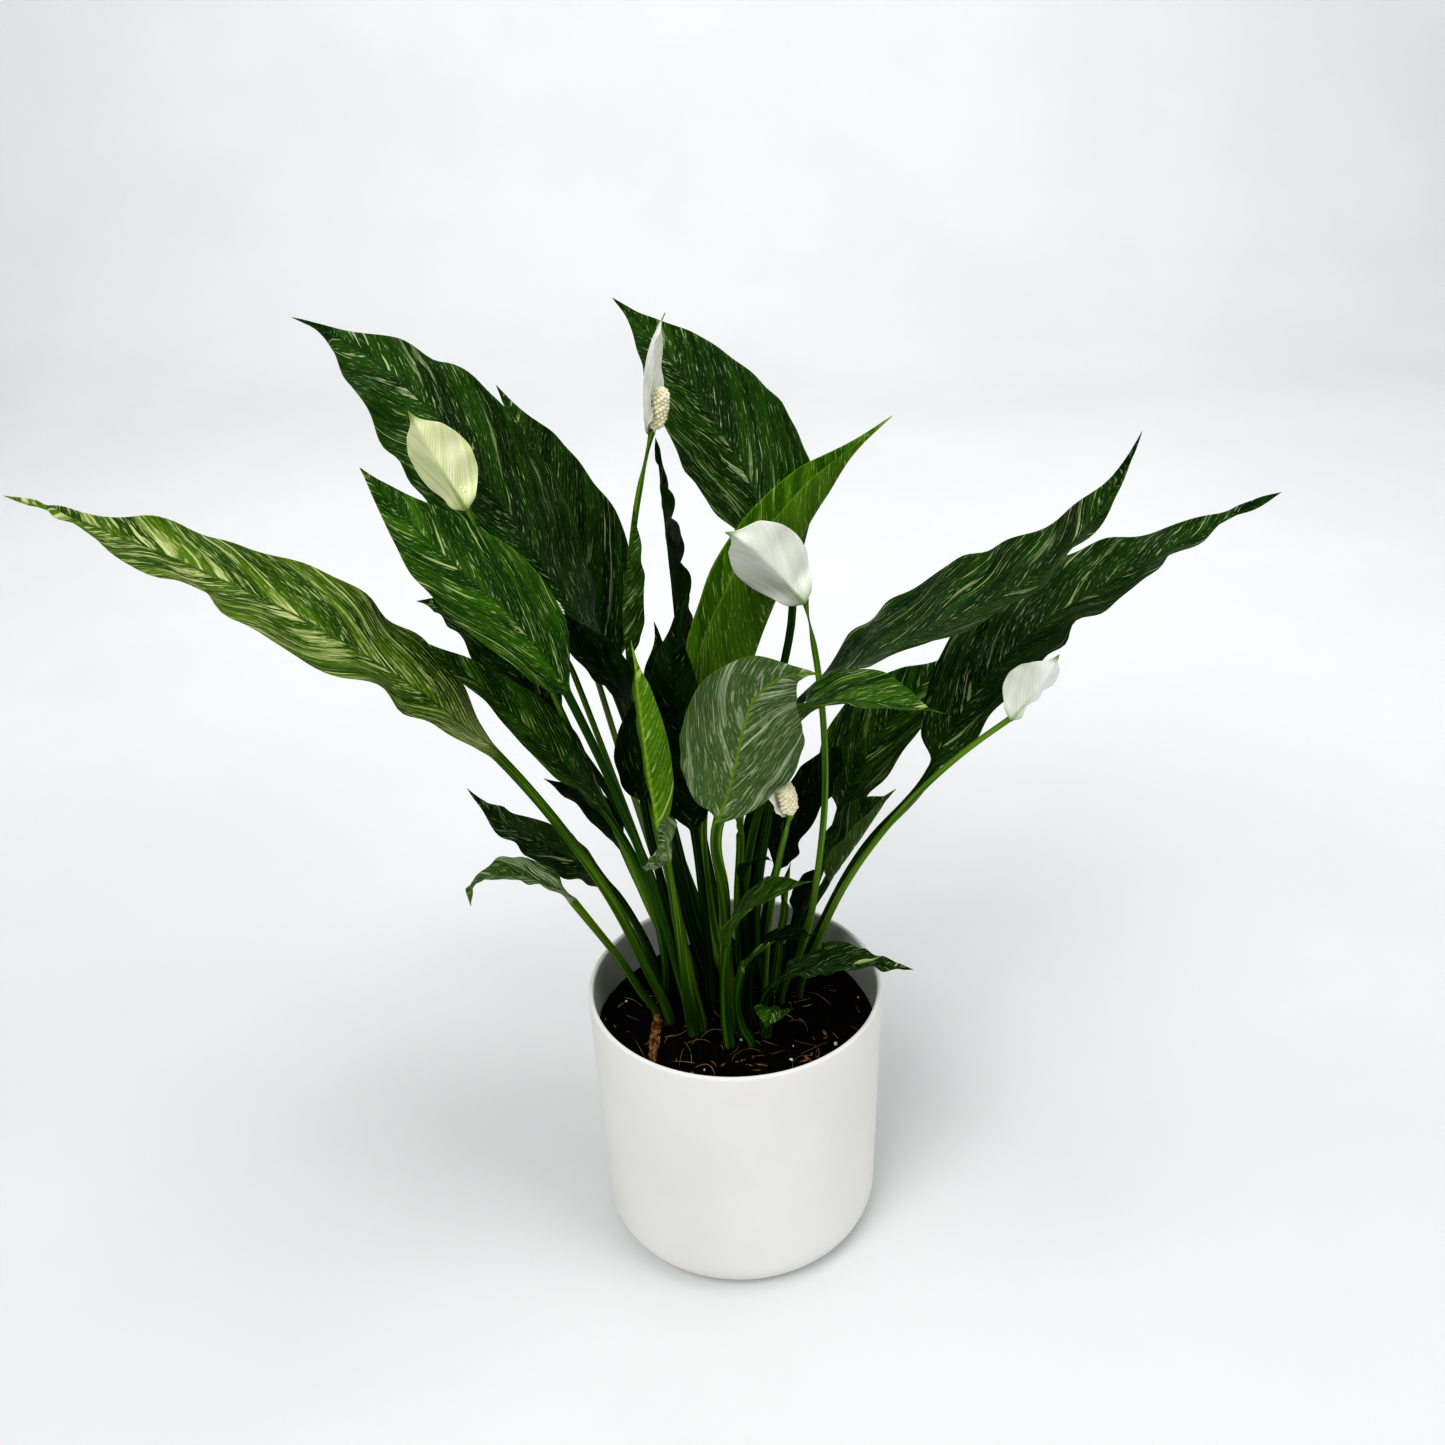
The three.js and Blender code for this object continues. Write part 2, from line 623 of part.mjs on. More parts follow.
const build = () => {
  const plant = new THREE.Group();
  plant.name = "potted_peace_lily";
  plant.add(potMesh());
  plant.add(soilMesh());
  plant.add(barkMesh());
  plant.add(stubMesh());
  for (const growth of LEAVES) {
    plant.add(leafMesh(growth));
  }
  for (const growth of FLOWERS) {
    for (const mesh of flowerMeshes(growth)) {
      plant.add(mesh);
    }
  }
  return plant;
};

export default build();
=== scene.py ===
"""Looks of a potted variegated peace lily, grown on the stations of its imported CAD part.

Every leaf, stalk, spathe and spadix is a fine surface drawn through the rings of eight
points that its CAD node is made of. The pot, the soil and what lies on it are built here.
Lengths are in metres in the CAD frame: +Z up, the pot's flat foot at the origin, the front
of the plant towards -Y.
"""

import logging
import math
from dataclasses import dataclass, field
from enum import Enum

import bpy
import numpy as np
from mathutils import Matrix


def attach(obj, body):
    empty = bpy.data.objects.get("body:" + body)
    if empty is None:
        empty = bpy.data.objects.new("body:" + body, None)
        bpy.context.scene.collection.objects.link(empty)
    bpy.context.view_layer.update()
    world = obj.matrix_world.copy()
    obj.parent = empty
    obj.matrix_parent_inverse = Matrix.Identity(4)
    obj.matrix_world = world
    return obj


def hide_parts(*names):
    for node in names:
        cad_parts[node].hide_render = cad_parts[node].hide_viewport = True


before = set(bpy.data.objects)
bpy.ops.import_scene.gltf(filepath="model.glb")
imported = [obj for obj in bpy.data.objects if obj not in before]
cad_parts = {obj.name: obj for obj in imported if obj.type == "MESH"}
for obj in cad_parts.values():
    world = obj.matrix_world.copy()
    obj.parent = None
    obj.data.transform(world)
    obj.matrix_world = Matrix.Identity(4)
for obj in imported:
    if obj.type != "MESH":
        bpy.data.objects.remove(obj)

LOG = logging.getLogger("peace_lily")
Array = np.ndarray
Data = dict[str, Array]
Node = bpy.types.Node
Socket = bpy.types.NodeSocket
Material = bpy.types.Material
Colour = tuple[float, float, float, float]
Place = tuple[float, float, float]
ROOT_BODY = "root"
RING_POINTS = 8
STEM_SUNK = 0.004
SIDE_VEINS = 0.0045
FINE_VEINS = 0.0013
SPATHE_VEINS = 0.0024


def srgb(red: int, green: int, blue: int) -> Colour:
    """Linear colour with alpha 1 from display values of 0 to 255."""
    shares = np.array([red, green, blue]) / 255.0
    linear = np.where(shares <= 0.04045, shares / 12.92, ((shares + 0.055) / 1.055) ** 2.4)
    return (float(linear[0]), float(linear[1]), float(linear[2]), 1.0)


# ---------------------------------------------------------------------------
# Shader helpers
# ---------------------------------------------------------------------------


@dataclass
class NodeSketch:
    """Short way to write a node tree: places nodes and links or sets their inputs."""

    tree: bpy.types.NodeTree

    def add(
        self, kind: str, inputs: dict[int | str, object] | None = None, **settings: object
    ) -> Node:
        """Adds a node.

        Args:
            kind: Blender's node type.
            inputs: sockets or constants for its inputs, by number or name.
            settings: property names and values of the node.

        Returns:
            The new node.
        """
        node = self.tree.nodes.new(kind)
        for name, value in settings.items():
            setattr(node, name, value)
        for name, value in (inputs or {}).items():
            self.feed(node.inputs[name], value)
        return node

    def feed(self, socket: Socket, value: object) -> None:
        """Links a socket to another socket, or gives it a constant."""
        if isinstance(value, Socket):
            self.tree.links.new(value, socket)
        else:
            socket.default_value = value

    def math(self, operation: str, first: object, second: object = 0.0) -> Socket:
        """Result of a math node on two numbers or sockets."""
        return self.add("ShaderNodeMath", {0: first, 1: second}, operation=operation).outputs[0]

    def times(self, first: object, second: object) -> Socket:
        """Product of two numbers or sockets."""
        return self.math("MULTIPLY", first, second)

    def plus(self, first: object, second: object) -> Socket:
        """Sum of two numbers or sockets."""
        return self.math("ADD", first, second)

    def less(self, first: object, second: object) -> Socket:
        """The first number or socket less the second."""
        return self.math("SUBTRACT", first, second)

    def blend(self, share: object, first: object, second: object) -> Socket:
        """Colour between two colours, by a share of 0 to 1."""
        inputs = {0: share, 6: first, 7: second}
        return self.add("ShaderNodeMix", inputs, data_type="RGBA").outputs[2]

    def ramp(self, value: object, low: object, high: object, top: float = 1.0) -> Socket:
        """Smooth rise from 0 to top while the value goes from low to high."""
        inputs = {"Value": value, "From Min": low, "From Max": high, "To Max": top}
        node = self.add("ShaderNodeMapRange", inputs, interpolation_type="SMOOTHSTEP")
        return node.outputs["Result"]

    def noise(self, place: object, scale: object, detail: float = 3.0) -> Socket:
        """Noise value at a place."""
        inputs = {"Vector": place, "Scale": scale, "Detail": detail}
        return self.add("ShaderNodeTexNoise", inputs).outputs["Fac"]

    def split(self, vector: object) -> list[Socket]:
        """The three parts of a vector."""
        return list(self.add("ShaderNodeSeparateXYZ", {0: vector}).outputs)

    def join(self, first: object, second: object, third: object) -> Socket:
        """Vector made of three values."""
        return self.add("ShaderNodeCombineXYZ", {0: first, 1: second, 2: third}).outputs[0]


class GroupShelf:
    """Shader node groups that several finishes share, each built once."""

    def __init__(self) -> None:
        """Builds the groups."""
        self.streaks = self._streaks()
        self.veins = self._veins()
        self.grit = self._grit()

    @staticmethod
    def _start(
        name: str, vector: str, numbers: list[str], masks: list[str]
    ) -> tuple[NodeSketch, object, object]:
        """Opens a group with one vector input, float inputs and float outputs."""
        tree = bpy.data.node_groups.new(name, "ShaderNodeTree")
        tree.interface.new_socket(vector, in_out="INPUT", socket_type="NodeSocketVector")
        for way, labels in (("INPUT", numbers), ("OUTPUT", masks)):
            for label in labels:
                tree.interface.new_socket(label, in_out=way, socket_type="NodeSocketFloat")
        sketch = NodeSketch(tree)
        return sketch, sketch.add("NodeGroupInput").outputs, sketch.add("NodeGroupOutput").inputs

    def _streaks(self) -> bpy.types.NodeTree:
        """Patches and flecks drawn out along the side veins of a blade."""
        numbers = ["Crossing", "Running", "Cut", "Softness", "Seed"]
        sketch, given, mask = self._start("Vein streaks", "Vein", numbers, ["Mask"])
        across, along, side = sketch.split(given["Vein"])
        drift = sketch.join(sketch.times(across, 160.0), sketch.times(along, 130.0), side)
        wander = sketch.times(sketch.noise(drift, 1.0), 0.004)
        place = sketch.join(
            sketch.times(sketch.plus(across, wander), given["Crossing"]),
            sketch.times(along, given["Running"]),
            sketch.times(side, 7.3),
        )
        seed = sketch.join(given["Seed"], given["Seed"], given["Seed"])
        shifted = sketch.add("ShaderNodeVectorMath", {0: place, 1: seed}, operation="ADD")
        value = sketch.noise(shifted.outputs[0], 1.0, 2.5)
        low = sketch.less(given["Cut"], given["Softness"])
        high = sketch.plus(given["Cut"], given["Softness"])
        sketch.feed(mask["Mask"], sketch.ramp(value, low, high))
        return sketch.tree

    def _veins(self) -> bpy.types.NodeTree:
        """Evenly spaced side veins: a fine line mask and a rounded swelling between lines."""
        sketch, given, mask = self._start(
            "Side veins", "Vein", ["Spacing"], ["Line", "Swelling"]
        )
        across, along, side = sketch.split(given["Vein"])
        drift = sketch.noise(sketch.join(sketch.times(across, 60.0), along, side), 1.0)
        count = sketch.math("DIVIDE", across, given["Spacing"])
        phase = sketch.math("FRACT", sketch.plus(count, sketch.times(drift, 0.9)))
        apart = sketch.math("ABSOLUTE", sketch.less(phase, 0.5))
        sketch.feed(mask["Line"], sketch.ramp(apart, 0.36, 0.5))
        sketch.feed(mask["Swelling"], sketch.ramp(apart, 0.5, 0.0))
        return sketch.tree

    def _grit(self) -> bpy.types.NodeTree:
        """Two sizes of noise for grain, dust and fine unevenness."""
        sketch, given, mask = self._start("Grit", "Place", ["Coarse", "Fine"], ["Broad", "Small"])
        for label, size in (("Broad", "Coarse"), ("Small", "Fine")):
            sketch.feed(mask[label], sketch.noise(given["Place"], given[size], 4.0))
        return sketch.tree


@dataclass
class MaterialSketch(NodeSketch):
    """Node sketch of one material, with the shared groups at hand."""

    material: Material
    shelf: GroupShelf

    @classmethod
    def start(cls, name: str, shelf: GroupShelf) -> "MaterialSketch":
        """Opens a new node material."""
        material = bpy.data.materials.new(name)
        material.use_nodes = True
        return cls(material.node_tree, material, shelf)

    def data(self, name: str) -> Socket:
        """A piece's own vertex data, by attribute name."""
        return self.add("ShaderNodeAttribute", attribute_name=name).outputs["Vector"]

    def streaks(
        self,
        vein: Socket,
        *,
        crossing: float,
        running: float,
        cut: object,
        softness: float,
        seed: float,
    ) -> Socket:
        """Mask of patches: how dense across and along the veins, how rare and how soft."""
        inputs = {
            "Vein": vein, "Crossing": crossing, "Running": running,
            "Cut": cut, "Softness": softness, "Seed": seed,
        }
        return self.add("ShaderNodeGroup", inputs, node_tree=self.shelf.streaks).outputs[0]

    def veins(self, vein: Socket, spacing: float) -> tuple[Socket, Socket]:
        """Line mask and swelling of side veins."""
        inputs = {"Vein": vein, "Spacing": spacing}
        node = self.add("ShaderNodeGroup", inputs, node_tree=self.shelf.veins)
        return node.outputs["Line"], node.outputs["Swelling"]

    def grit(self, coarse: float, fine: float) -> tuple[Socket, Socket]:
        """Broad and small grain over object coordinates."""
        place = self.add("ShaderNodeTexCoord").outputs["Object"]
        inputs = {"Place": place, "Coarse": coarse, "Fine": fine}
        node = self.add("ShaderNodeGroup", inputs, node_tree=self.shelf.grit)
        return node.outputs["Broad"], node.outputs["Small"]

    def line_mask(self, distance: Socket, reach: float) -> Socket:
        """Mask of a midrib, from the distance to it."""
        return self.ramp(self.math("ABSOLUTE", distance), reach, 0.0003)

    def done(
        self,
        colour: Socket,
        roughness: Socket,
        relief: tuple[Socket, float, float],
        constants: dict[str, object],
    ) -> Material:
        """Joins everything to the shader.

        Args:
            colour: base colour.
            roughness: roughness.
            relief: height, strength and distance of the bump.
            constants: values of the shader's own inputs, by name.

        Returns:
            The material.
        """
        height, strength, distance = relief
        inputs = {"Strength": strength, "Distance": distance, "Height": height}
        normal = self.add("ShaderNodeBump", inputs).outputs["Normal"]
        shader = self.tree.nodes["Principled BSDF"].inputs
        self.feed(shader["Base Color"], colour)
        self.feed(shader["Roughness"], roughness)
        self.feed(shader["Normal"], normal)
        for name, value in constants.items():
            shader[name].default_value = value
        return self.material


# ---------------------------------------------------------------------------
# Finishes
# ---------------------------------------------------------------------------


@dataclass(frozen=True)
class LeafFinish:
    """Variegated leaf: two greens, grey-green patches, cream stripes and fine flecks."""

    name: str
    deep: Colour
    fresh: Colour
    patch: Colour
    cream: Colour
    underside: Colour
    rib: Colour
    patch_cut: float = 0.62
    stripe_cut: float = 0.66
    fleck_cut: float = 0.6
    underside_share: float = 0.6
    roughness: float = 0.36
    gloss: float = 0.16

    def build(self, shelf: GroupShelf) -> Material:
        """The material of this leaf finish, read from the vein and blade data of a leaf."""
        sketch = MaterialSketch.start(self.name, shelf)
        vein = sketch.data("vein")
        stem, upper, middle = sketch.split(sketch.data("blade"))
        _, edge, pale = sketch.split(sketch.data("shares"))
        below = sketch.less(1.0, upper)

        broad = sketch.streaks(
            vein, crossing=70.0, running=22.0, cut=0.52, softness=0.15, seed=1.7
        )
        green = sketch.blend(broad, self.deep, self.fresh)
        paled = sketch.times(below, self.underside_share)
        green = sketch.blend(paled, green, self.underside)
        green = self._markings(sketch, vein, green, pale)
        line, swelling = sketch.veins(vein, SIDE_VEINS)
        # Painted shade: the side-vein lines, the grooves between the bump's swellings, are darkened
        # towards the deep green.
        green = sketch.blend(sketch.times(line, 0.4), green, self.deep)
        green = sketch.blend(sketch.ramp(edge, 0.955, 0.99, top=0.45), green, self.rib)
        green = self._midrib(sketch, green, below, middle)

        along, around, _ = sketch.split(vein)
        place = sketch.join(sketch.times(along, 12.0), sketch.times(around, 9.0), 0.0)
        fibres = sketch.noise(place, 1.0)
        stalk = sketch.blend(sketch.ramp(fibres, 0.4, 0.7), self.deep, self.rib)
        matt = sketch.times(sketch.plus(below, sketch.times(fibres, 0.5)), 0.2)

        _, fine = sketch.veins(vein, FINE_VEINS)
        relief = sketch.plus(swelling, sketch.times(fine, 0.22))
        quiet = sketch.times(relief, sketch.less(1.0, stem))
        height = sketch.plus(quiet, sketch.times(fibres, 0.25))
        return sketch.done(
            sketch.blend(stem, green, stalk),
            sketch.plus(matt, self.roughness),
            (height, 0.8, 0.0007),
            {"Specular IOR Level": self.gloss},
        )

    def _markings(
        self, sketch: MaterialSketch, vein: Socket, green: Socket, pale: Socket
    ) -> Socket:
        """Grey-green patches, cream stripes and two sizes of flecks over the green."""
        patches = sketch.streaks(
            vein, crossing=85.0, running=38.0, cut=self.patch_cut, softness=0.014, seed=5.1
        )
        patchy = sketch.math("MAXIMUM", sketch.times(patches, 0.7), pale)
        green = sketch.blend(patchy, green, self.patch)
        stripes = sketch.streaks(
            vein, crossing=190.0, running=48.0, cut=self.stripe_cut, softness=0.016, seed=9.4
        )
        green = sketch.blend(sketch.times(stripes, 0.85), green, self.cream)
        cut = sketch.less(self.fleck_cut, sketch.times(patches, 0.05))
        flecks = sketch.streaks(
            vein, crossing=560.0, running=240.0, cut=cut, softness=0.02, seed=3.3
        )
        specks = sketch.streaks(
            vein, crossing=1150.0, running=560.0, cut=cut, softness=0.03, seed=6.3
        )
        marks = sketch.math("MAXIMUM", flecks, sketch.times(specks, 0.7))
        return sketch.blend(sketch.times(marks, 0.72), green, self.cream)

    def _midrib(
        self, sketch: MaterialSketch, green: Socket, below: Socket, middle: Socket
    ) -> Socket:
        """A midrib with painted shade in its groove above, and pale below."""
        on_rib = sketch.line_mask(middle, 0.0010)
        # Painted shade: the midrib groove on the upper face is darkened towards the deep green.
        dark = sketch.times(on_rib, sketch.less(1.0, below))
        green = sketch.blend(sketch.times(dark, 0.6), green, self.deep)
        return sketch.blend(sketch.times(sketch.times(on_rib, below), 0.85), green, self.rib)


@dataclass(frozen=True)
class StalkFinish:
    """Smooth green stalk with fine lengthwise lines and a darker foot: painted shade at the foot of
    a green stalk, brown on the dry stub.
    """

    name: str
    light: Colour
    dark: Colour
    # foot colour: painted shade for a green stalk, brown for the dry stub
    foot: Colour

    def build(self, shelf: GroupShelf) -> Material:
        """The material of this stalk finish."""
        sketch = MaterialSketch.start(self.name, shelf)
        vein = sketch.data("vein")
        lines = sketch.streaks(
            vein, crossing=14.0, running=8.0, cut=0.5, softness=0.16, seed=2.2
        )
        colour = sketch.blend(lines, self.dark, self.light)
        # Painted shade towards the foot of a green stalk, browning on the dry stub: the lowest 5 cm
        # blend to the foot colour.
        foot_shade_and_browning = sketch.ramp(sketch.split(vein)[0], 0.05, 0.0, top=0.6)
        broad, small = sketch.grit(300.0, 1500.0)
        return sketch.done(
            sketch.blend(foot_shade_and_browning, colour, self.foot),
            sketch.plus(sketch.ramp(broad, 0.3, 0.7, top=0.2), 0.36),
            (sketch.plus(lines, sketch.times(small, 0.4)), 0.3, 0.0003),
            {"Specular IOR Level": 0.2},
        )


@dataclass(frozen=True)
class SpatheFinish:
    """Soft white spathe with faint veins, green midrib behind and a green tip."""

    name: str
    white: Colour
    shade: Colour
    green: Colour
    rib_share: float = 0.5
    flush: float = 0.25

    def build(self, shelf: GroupShelf) -> Material:
        """The material of this spathe finish."""
        sketch = MaterialSketch.start(self.name, shelf)
        vein = sketch.data("vein")
        _, upper, middle = sketch.split(sketch.data("blade"))
        share = sketch.split(sketch.data("shares"))[0]
        broad = sketch.streaks(
            vein, crossing=160.0, running=40.0, cut=0.5, softness=0.16, seed=4.4
        )
        colour = sketch.blend(sketch.times(broad, 0.8), self.white, self.shade)
        line, swelling = sketch.veins(vein, SPATHE_VEINS)
        colour = sketch.blend(sketch.times(line, 0.35), colour, self.shade)
        tip = sketch.ramp(share, 0.84, 0.99)
        base = sketch.ramp(share, 0.14, 0.0, top=0.5)
        colour = sketch.blend(sketch.math("MAXIMUM", tip, base), colour, self.green)
        fade = sketch.ramp(share, 0.6, 0.1, top=self.rib_share)
        rib = sketch.times(sketch.line_mask(middle, 0.0011), fade)
        behind = sketch.times(rib, sketch.less(1.0, upper))
        return sketch.done(
            sketch.blend(behind, colour, self.green),
            sketch.ramp(broad, -1.5, 1.5, top=0.7),
            (sketch.plus(swelling, sketch.times(broad, 0.6)), 0.35, 0.0005),
            {"Subsurface Weight": self.flush, "Subsurface Radius": (0.003, 0.003, 0.002)},
        )


@dataclass(frozen=True)
class GrainFinish:
    """Grainy matt finish in two colours with a third on raised specks."""

    name: str
    low: Colour
    high: Colour
    speck: Colour
    coarse: float
    fine: float
    roughness: float = 0.8
    speck_cut: float = 0.7
    relief: float = 0.5
    depth: float = 0.0008
    flush: float = 0.0
    gloss: float = 0.12

    def build(self, shelf: GroupShelf) -> Material:
        """The material of this grain finish, read from object coordinates."""
        sketch = MaterialSketch.start(self.name, shelf)
        broad, small = sketch.grit(self.coarse, self.fine)
        colour = sketch.blend(sketch.ramp(broad, 0.35, 0.65), self.low, self.high)
        specks = sketch.ramp(small, self.speck_cut, self.speck_cut + 0.05)
        constants = {"Specular IOR Level": self.gloss}
        if self.flush > 0.0:
            constants["Subsurface Weight"] = self.flush
            constants["Subsurface Radius"] = (0.002, 0.002, 0.001)
        return sketch.done(
            sketch.blend(specks, colour, self.speck),
            sketch.plus(sketch.times(broad, 0.2), self.roughness - 0.1),
            (sketch.plus(broad, sketch.times(small, 0.5)), self.relief, self.depth),
            constants,
        )


class LeafKind(Enum):
    """How a leaf is coloured."""

    DARK = "dark"
    FLECKED = "flecked"
    MARBLED = "marbled"
    STRIPED = "striped"
    FRESH = "fresh"
    GREY = "grey"


LEAF_FINISHES: dict[LeafKind, LeafFinish] = {
    LeafKind.DARK: LeafFinish(
        "leaf_dark", srgb(8, 30, 2), srgb(26, 60, 4), srgb(60, 84, 40), srgb(126, 150, 84),
        srgb(36, 66, 14), srgb(46, 88, 12),
        patch_cut=0.72, stripe_cut=0.74, fleck_cut=0.67, gloss=0.1,
    ),
    LeafKind.FLECKED: LeafFinish(
        "leaf_flecked", srgb(20, 54, 2), srgb(46, 88, 6), srgb(142, 158, 118), srgb(190, 204, 150),
        srgb(66, 98, 34), srgb(62, 104, 14),
        patch_cut=0.655, stripe_cut=0.675, fleck_cut=0.65,
    ),
    LeafKind.MARBLED: LeafFinish(
        "leaf_marbled", srgb(26, 68, 3), srgb(68, 114, 10), srgb(148, 166, 96), srgb(190, 206, 140),
        srgb(84, 118, 34), srgb(84, 126, 18),
        patch_cut=0.655, stripe_cut=0.675, fleck_cut=0.64,
    ),
    LeafKind.STRIPED: LeafFinish(
        "leaf_striped", srgb(46, 84, 4), srgb(100, 134, 24), srgb(164, 178, 104),
        srgb(214, 220, 160), srgb(112, 138, 52), srgb(110, 144, 28),
        patch_cut=0.6, stripe_cut=0.635, fleck_cut=0.615,
    ),
    LeafKind.FRESH: LeafFinish(
        "leaf_fresh", srgb(56, 102, 4), srgb(96, 142, 18), srgb(146, 176, 80), srgb(190, 208, 124),
        srgb(110, 148, 34), srgb(146, 176, 56),
        patch_cut=0.7, stripe_cut=0.71, fleck_cut=0.64, underside_share=0.4,
    ),
    LeafKind.GREY: LeafFinish(
        "leaf_grey", srgb(46, 84, 12), srgb(76, 112, 30), srgb(150, 164, 132), srgb(184, 196, 164),
        srgb(96, 120, 74), srgb(116, 146, 32),
        patch_cut=0.575, stripe_cut=0.66, fleck_cut=0.61, underside_share=0.7, roughness=0.45,
    ),
}

# Foot colours: painted shade at the foot of the green stalks, brown at the foot of the dry stub.
STALK_GREEN = StalkFinish("stalk_green", srgb(118, 156, 48), srgb(64, 104, 20), srgb(30, 54, 10))
STALK_DRY = StalkFinish("stalk_dry", srgb(150, 160, 96), srgb(96, 116, 54), srgb(90, 84, 50))
SPATHE_WHITE = SpatheFinish(
    "spathe_white", srgb(246, 246, 242), srgb(228, 232, 216), srgb(120, 160, 62)
)
SPATHE_CREAM = SpatheFinish(
    "spathe_cream", srgb(232, 234, 196), srgb(206, 216, 156), srgb(128, 160, 66), rib_share=0.7
)
SPADIX_CREAM = GrainFinish(
    "spadix_cream", srgb(238, 230, 196), srgb(250, 246, 224), srgb(214, 200, 140),
    coarse=900.0, fine=2600.0, roughness=0.6, speck_cut=0.62, depth=0.0004, flush=0.15,
)
POT_WHITE = GrainFinish(
    "pot_white", srgb(234, 233, 229), srgb(238, 237, 234), srgb(228, 227, 222),
    coarse=14.0, fine=2400.0, roughness=0.5, speck_cut=0.68, relief=0.25, depth=0.0002,
)
SOIL_DARK = GrainFinish(
    "soil_dark", srgb(5, 4, 3), srgb(16, 12, 9), srgb(60, 44, 30),
    coarse=260.0, fine=1100.0, roughness=0.9, speck_cut=0.66, relief=1.0, depth=0.0015,
)
CRUMB_BROWN = GrainFinish(
    "crumb_brown", srgb(7, 5, 3), srgb(28, 20, 14), srgb(90, 66, 44),
    coarse=350.0, fine=1600.0, roughness=0.9, speck_cut=0.66, relief=0.8,
)
FIBRE_TAN = GrainFinish(
    "fibre_tan", srgb(122, 92, 58), srgb(176, 146, 104), srgb(206, 186, 150),
    coarse=160.0, fine=1500.0, roughness=0.8, speck_cut=0.66,
)
PERLITE_WHITE = GrainFinish(
    "perlite_white", srgb(214, 212, 204), srgb(238, 236, 230), srgb(180, 176, 166),
    coarse=700.0, fine=2200.0, roughness=0.85,
)
BARK_BROWN = GrainFinish(
    "bark_brown", srgb(74, 46, 24), srgb(150, 112, 70), srgb(200, 168, 120),
    coarse=420.0, fine=900.0, roughness=0.85, speck_cut=0.62, relief=1.0, depth=0.001,
)
PAPER_PALE = GrainFinish(
    "studio_paper", srgb(229, 230, 231), srgb(232, 233, 234), srgb(227, 228, 229),
    coarse=3.0, fine=600.0, roughness=0.9, relief=0.1, depth=0.0002,
)


# ---------------------------------------------------------------------------
# Curves through stations
# ---------------------------------------------------------------------------


def spans(knots: Array, wanted: Array) -> tuple[Array, Array, Array]:
    """The span of knots that each wanted position lies in, its width and the way into it."""
    cell = np.clip(np.searchsorted(knots, wanted, side="right") - 1, 0, len(knots) - 2)
    return cell, np.diff(knots)[cell][:, None], (wanted - knots[cell])[:, None]


def natural_spline(knots: Array, values: Array, wanted: Array) -> Array:
    """Natural cubic spline: second slopes solve the usual three-term system, zero at both ends.

    Args:
        knots: rising positions, one per value.
        values: array whose first axis matches the knots.
        wanted: positions to evaluate at.

    Returns:
        The curve at the wanted positions.
    """
    count = len(knots)
    gap = np.diff(knots)
    flat = values.reshape(count, -1)
    system = np.eye(count)
    right = np.zeros_like(flat)
    inner = np.arange(1, count - 1)
    system[inner, inner - 1] = gap[:-1]
    system[inner, inner] = 2.0 * (gap[:-1] + gap[1:])
    system[inner, inner + 1] = gap[1:]
    slope = np.diff(flat, axis=0) / gap[:, None]
    right[1:-1] = 6.0 * np.diff(slope, axis=0)
    bend = np.linalg.solve(system, right)
    cell, width, before = spans(knots, wanted)
    after = width - before
    curve = (bend[cell] * after**3 + bend[cell + 1] * before**3) / (6.0 * width)
    curve += (flat[cell] / width - bend[cell] * width / 6.0) * after
    curve += (flat[cell + 1] / width - bend[cell + 1] * width / 6.0) * before
    return curve.reshape((len(wanted),) + values.shape[1:])


def steady_curve(knots: Array, values: Array, wanted: Array) -> Array:
    """Cubic through the values that never overshoots: slopes are harmonic means of the chords.

    Takes and returns what natural_spline does.
    """
    flat = values.reshape(len(knots), -1)
    chord = np.diff(flat, axis=0) / np.diff(knots)[:, None]
    slope = np.zeros_like(flat)
    together = chord[:-1] * chord[1:] > 0.0
    safe = np.where(together, chord[:-1] + chord[1:], 1.0)
    slope[1:-1] = np.where(together, 2.0 * chord[:-1] * chord[1:] / safe, 0.0)
    slope[0] = chord[0]
    slope[-1] = chord[-1]
    cell, width, before = spans(knots, wanted)
    share = before / width
    curve = (1.0 + 2.0 * share) * (1.0 - share) ** 2 * flat[cell]
    curve += share * (1.0 - share) ** 2 * width * slope[cell]
    curve += share**2 * (3.0 - 2.0 * share) * flat[cell + 1]
    curve += share**2 * (share - 1.0) * width * slope[cell + 1]
    return curve.reshape((len(wanted),) + values.shape[1:])


def round_weights(turns: Array) -> Array:
    """Weights of a closed cubic through a ring's points, with chord-parallel slopes.

    Args:
        turns: positions on the loop, from 0 to the number of points.

    Returns:
        One row of weights per position.
    """
    cell = np.floor(turns).astype(int)
    share = turns - cell
    cubes = fan(
        -0.5 * share + share**2 - 0.5 * share**3,
        1.0 - 2.5 * share**2 + 1.5 * share**3,
        0.5 * share + 2.0 * share**2 - 1.5 * share**3,
        -0.5 * share**2 + 0.5 * share**3,
    )
    weights = np.zeros((len(turns), RING_POINTS))
    columns = (cell[:, None] + np.arange(-1, 3)) % RING_POINTS
    np.add.at(weights, (np.arange(len(turns))[:, None], columns), cubes)
    return weights


def smooth_step(value: Array) -> Array:
    """Rise from 0 to 1 with level ends."""
    share = np.clip(value, 0.0, 1.0)
    return share * share * (3.0 - 2.0 * share)


def fan(*parts: object) -> Array:
    """Vectors whose parts are spread against each other."""
    return np.stack(np.broadcast_arrays(*parts), axis=-1)


def circle(count: int) -> Array:
    """Evenly spaced angles of a full turn."""
    return np.arange(count) * 2.0 * math.pi / count


def unit(vector: Array) -> Array:
    """The vector at length 1."""
    return vector / np.linalg.norm(vector)


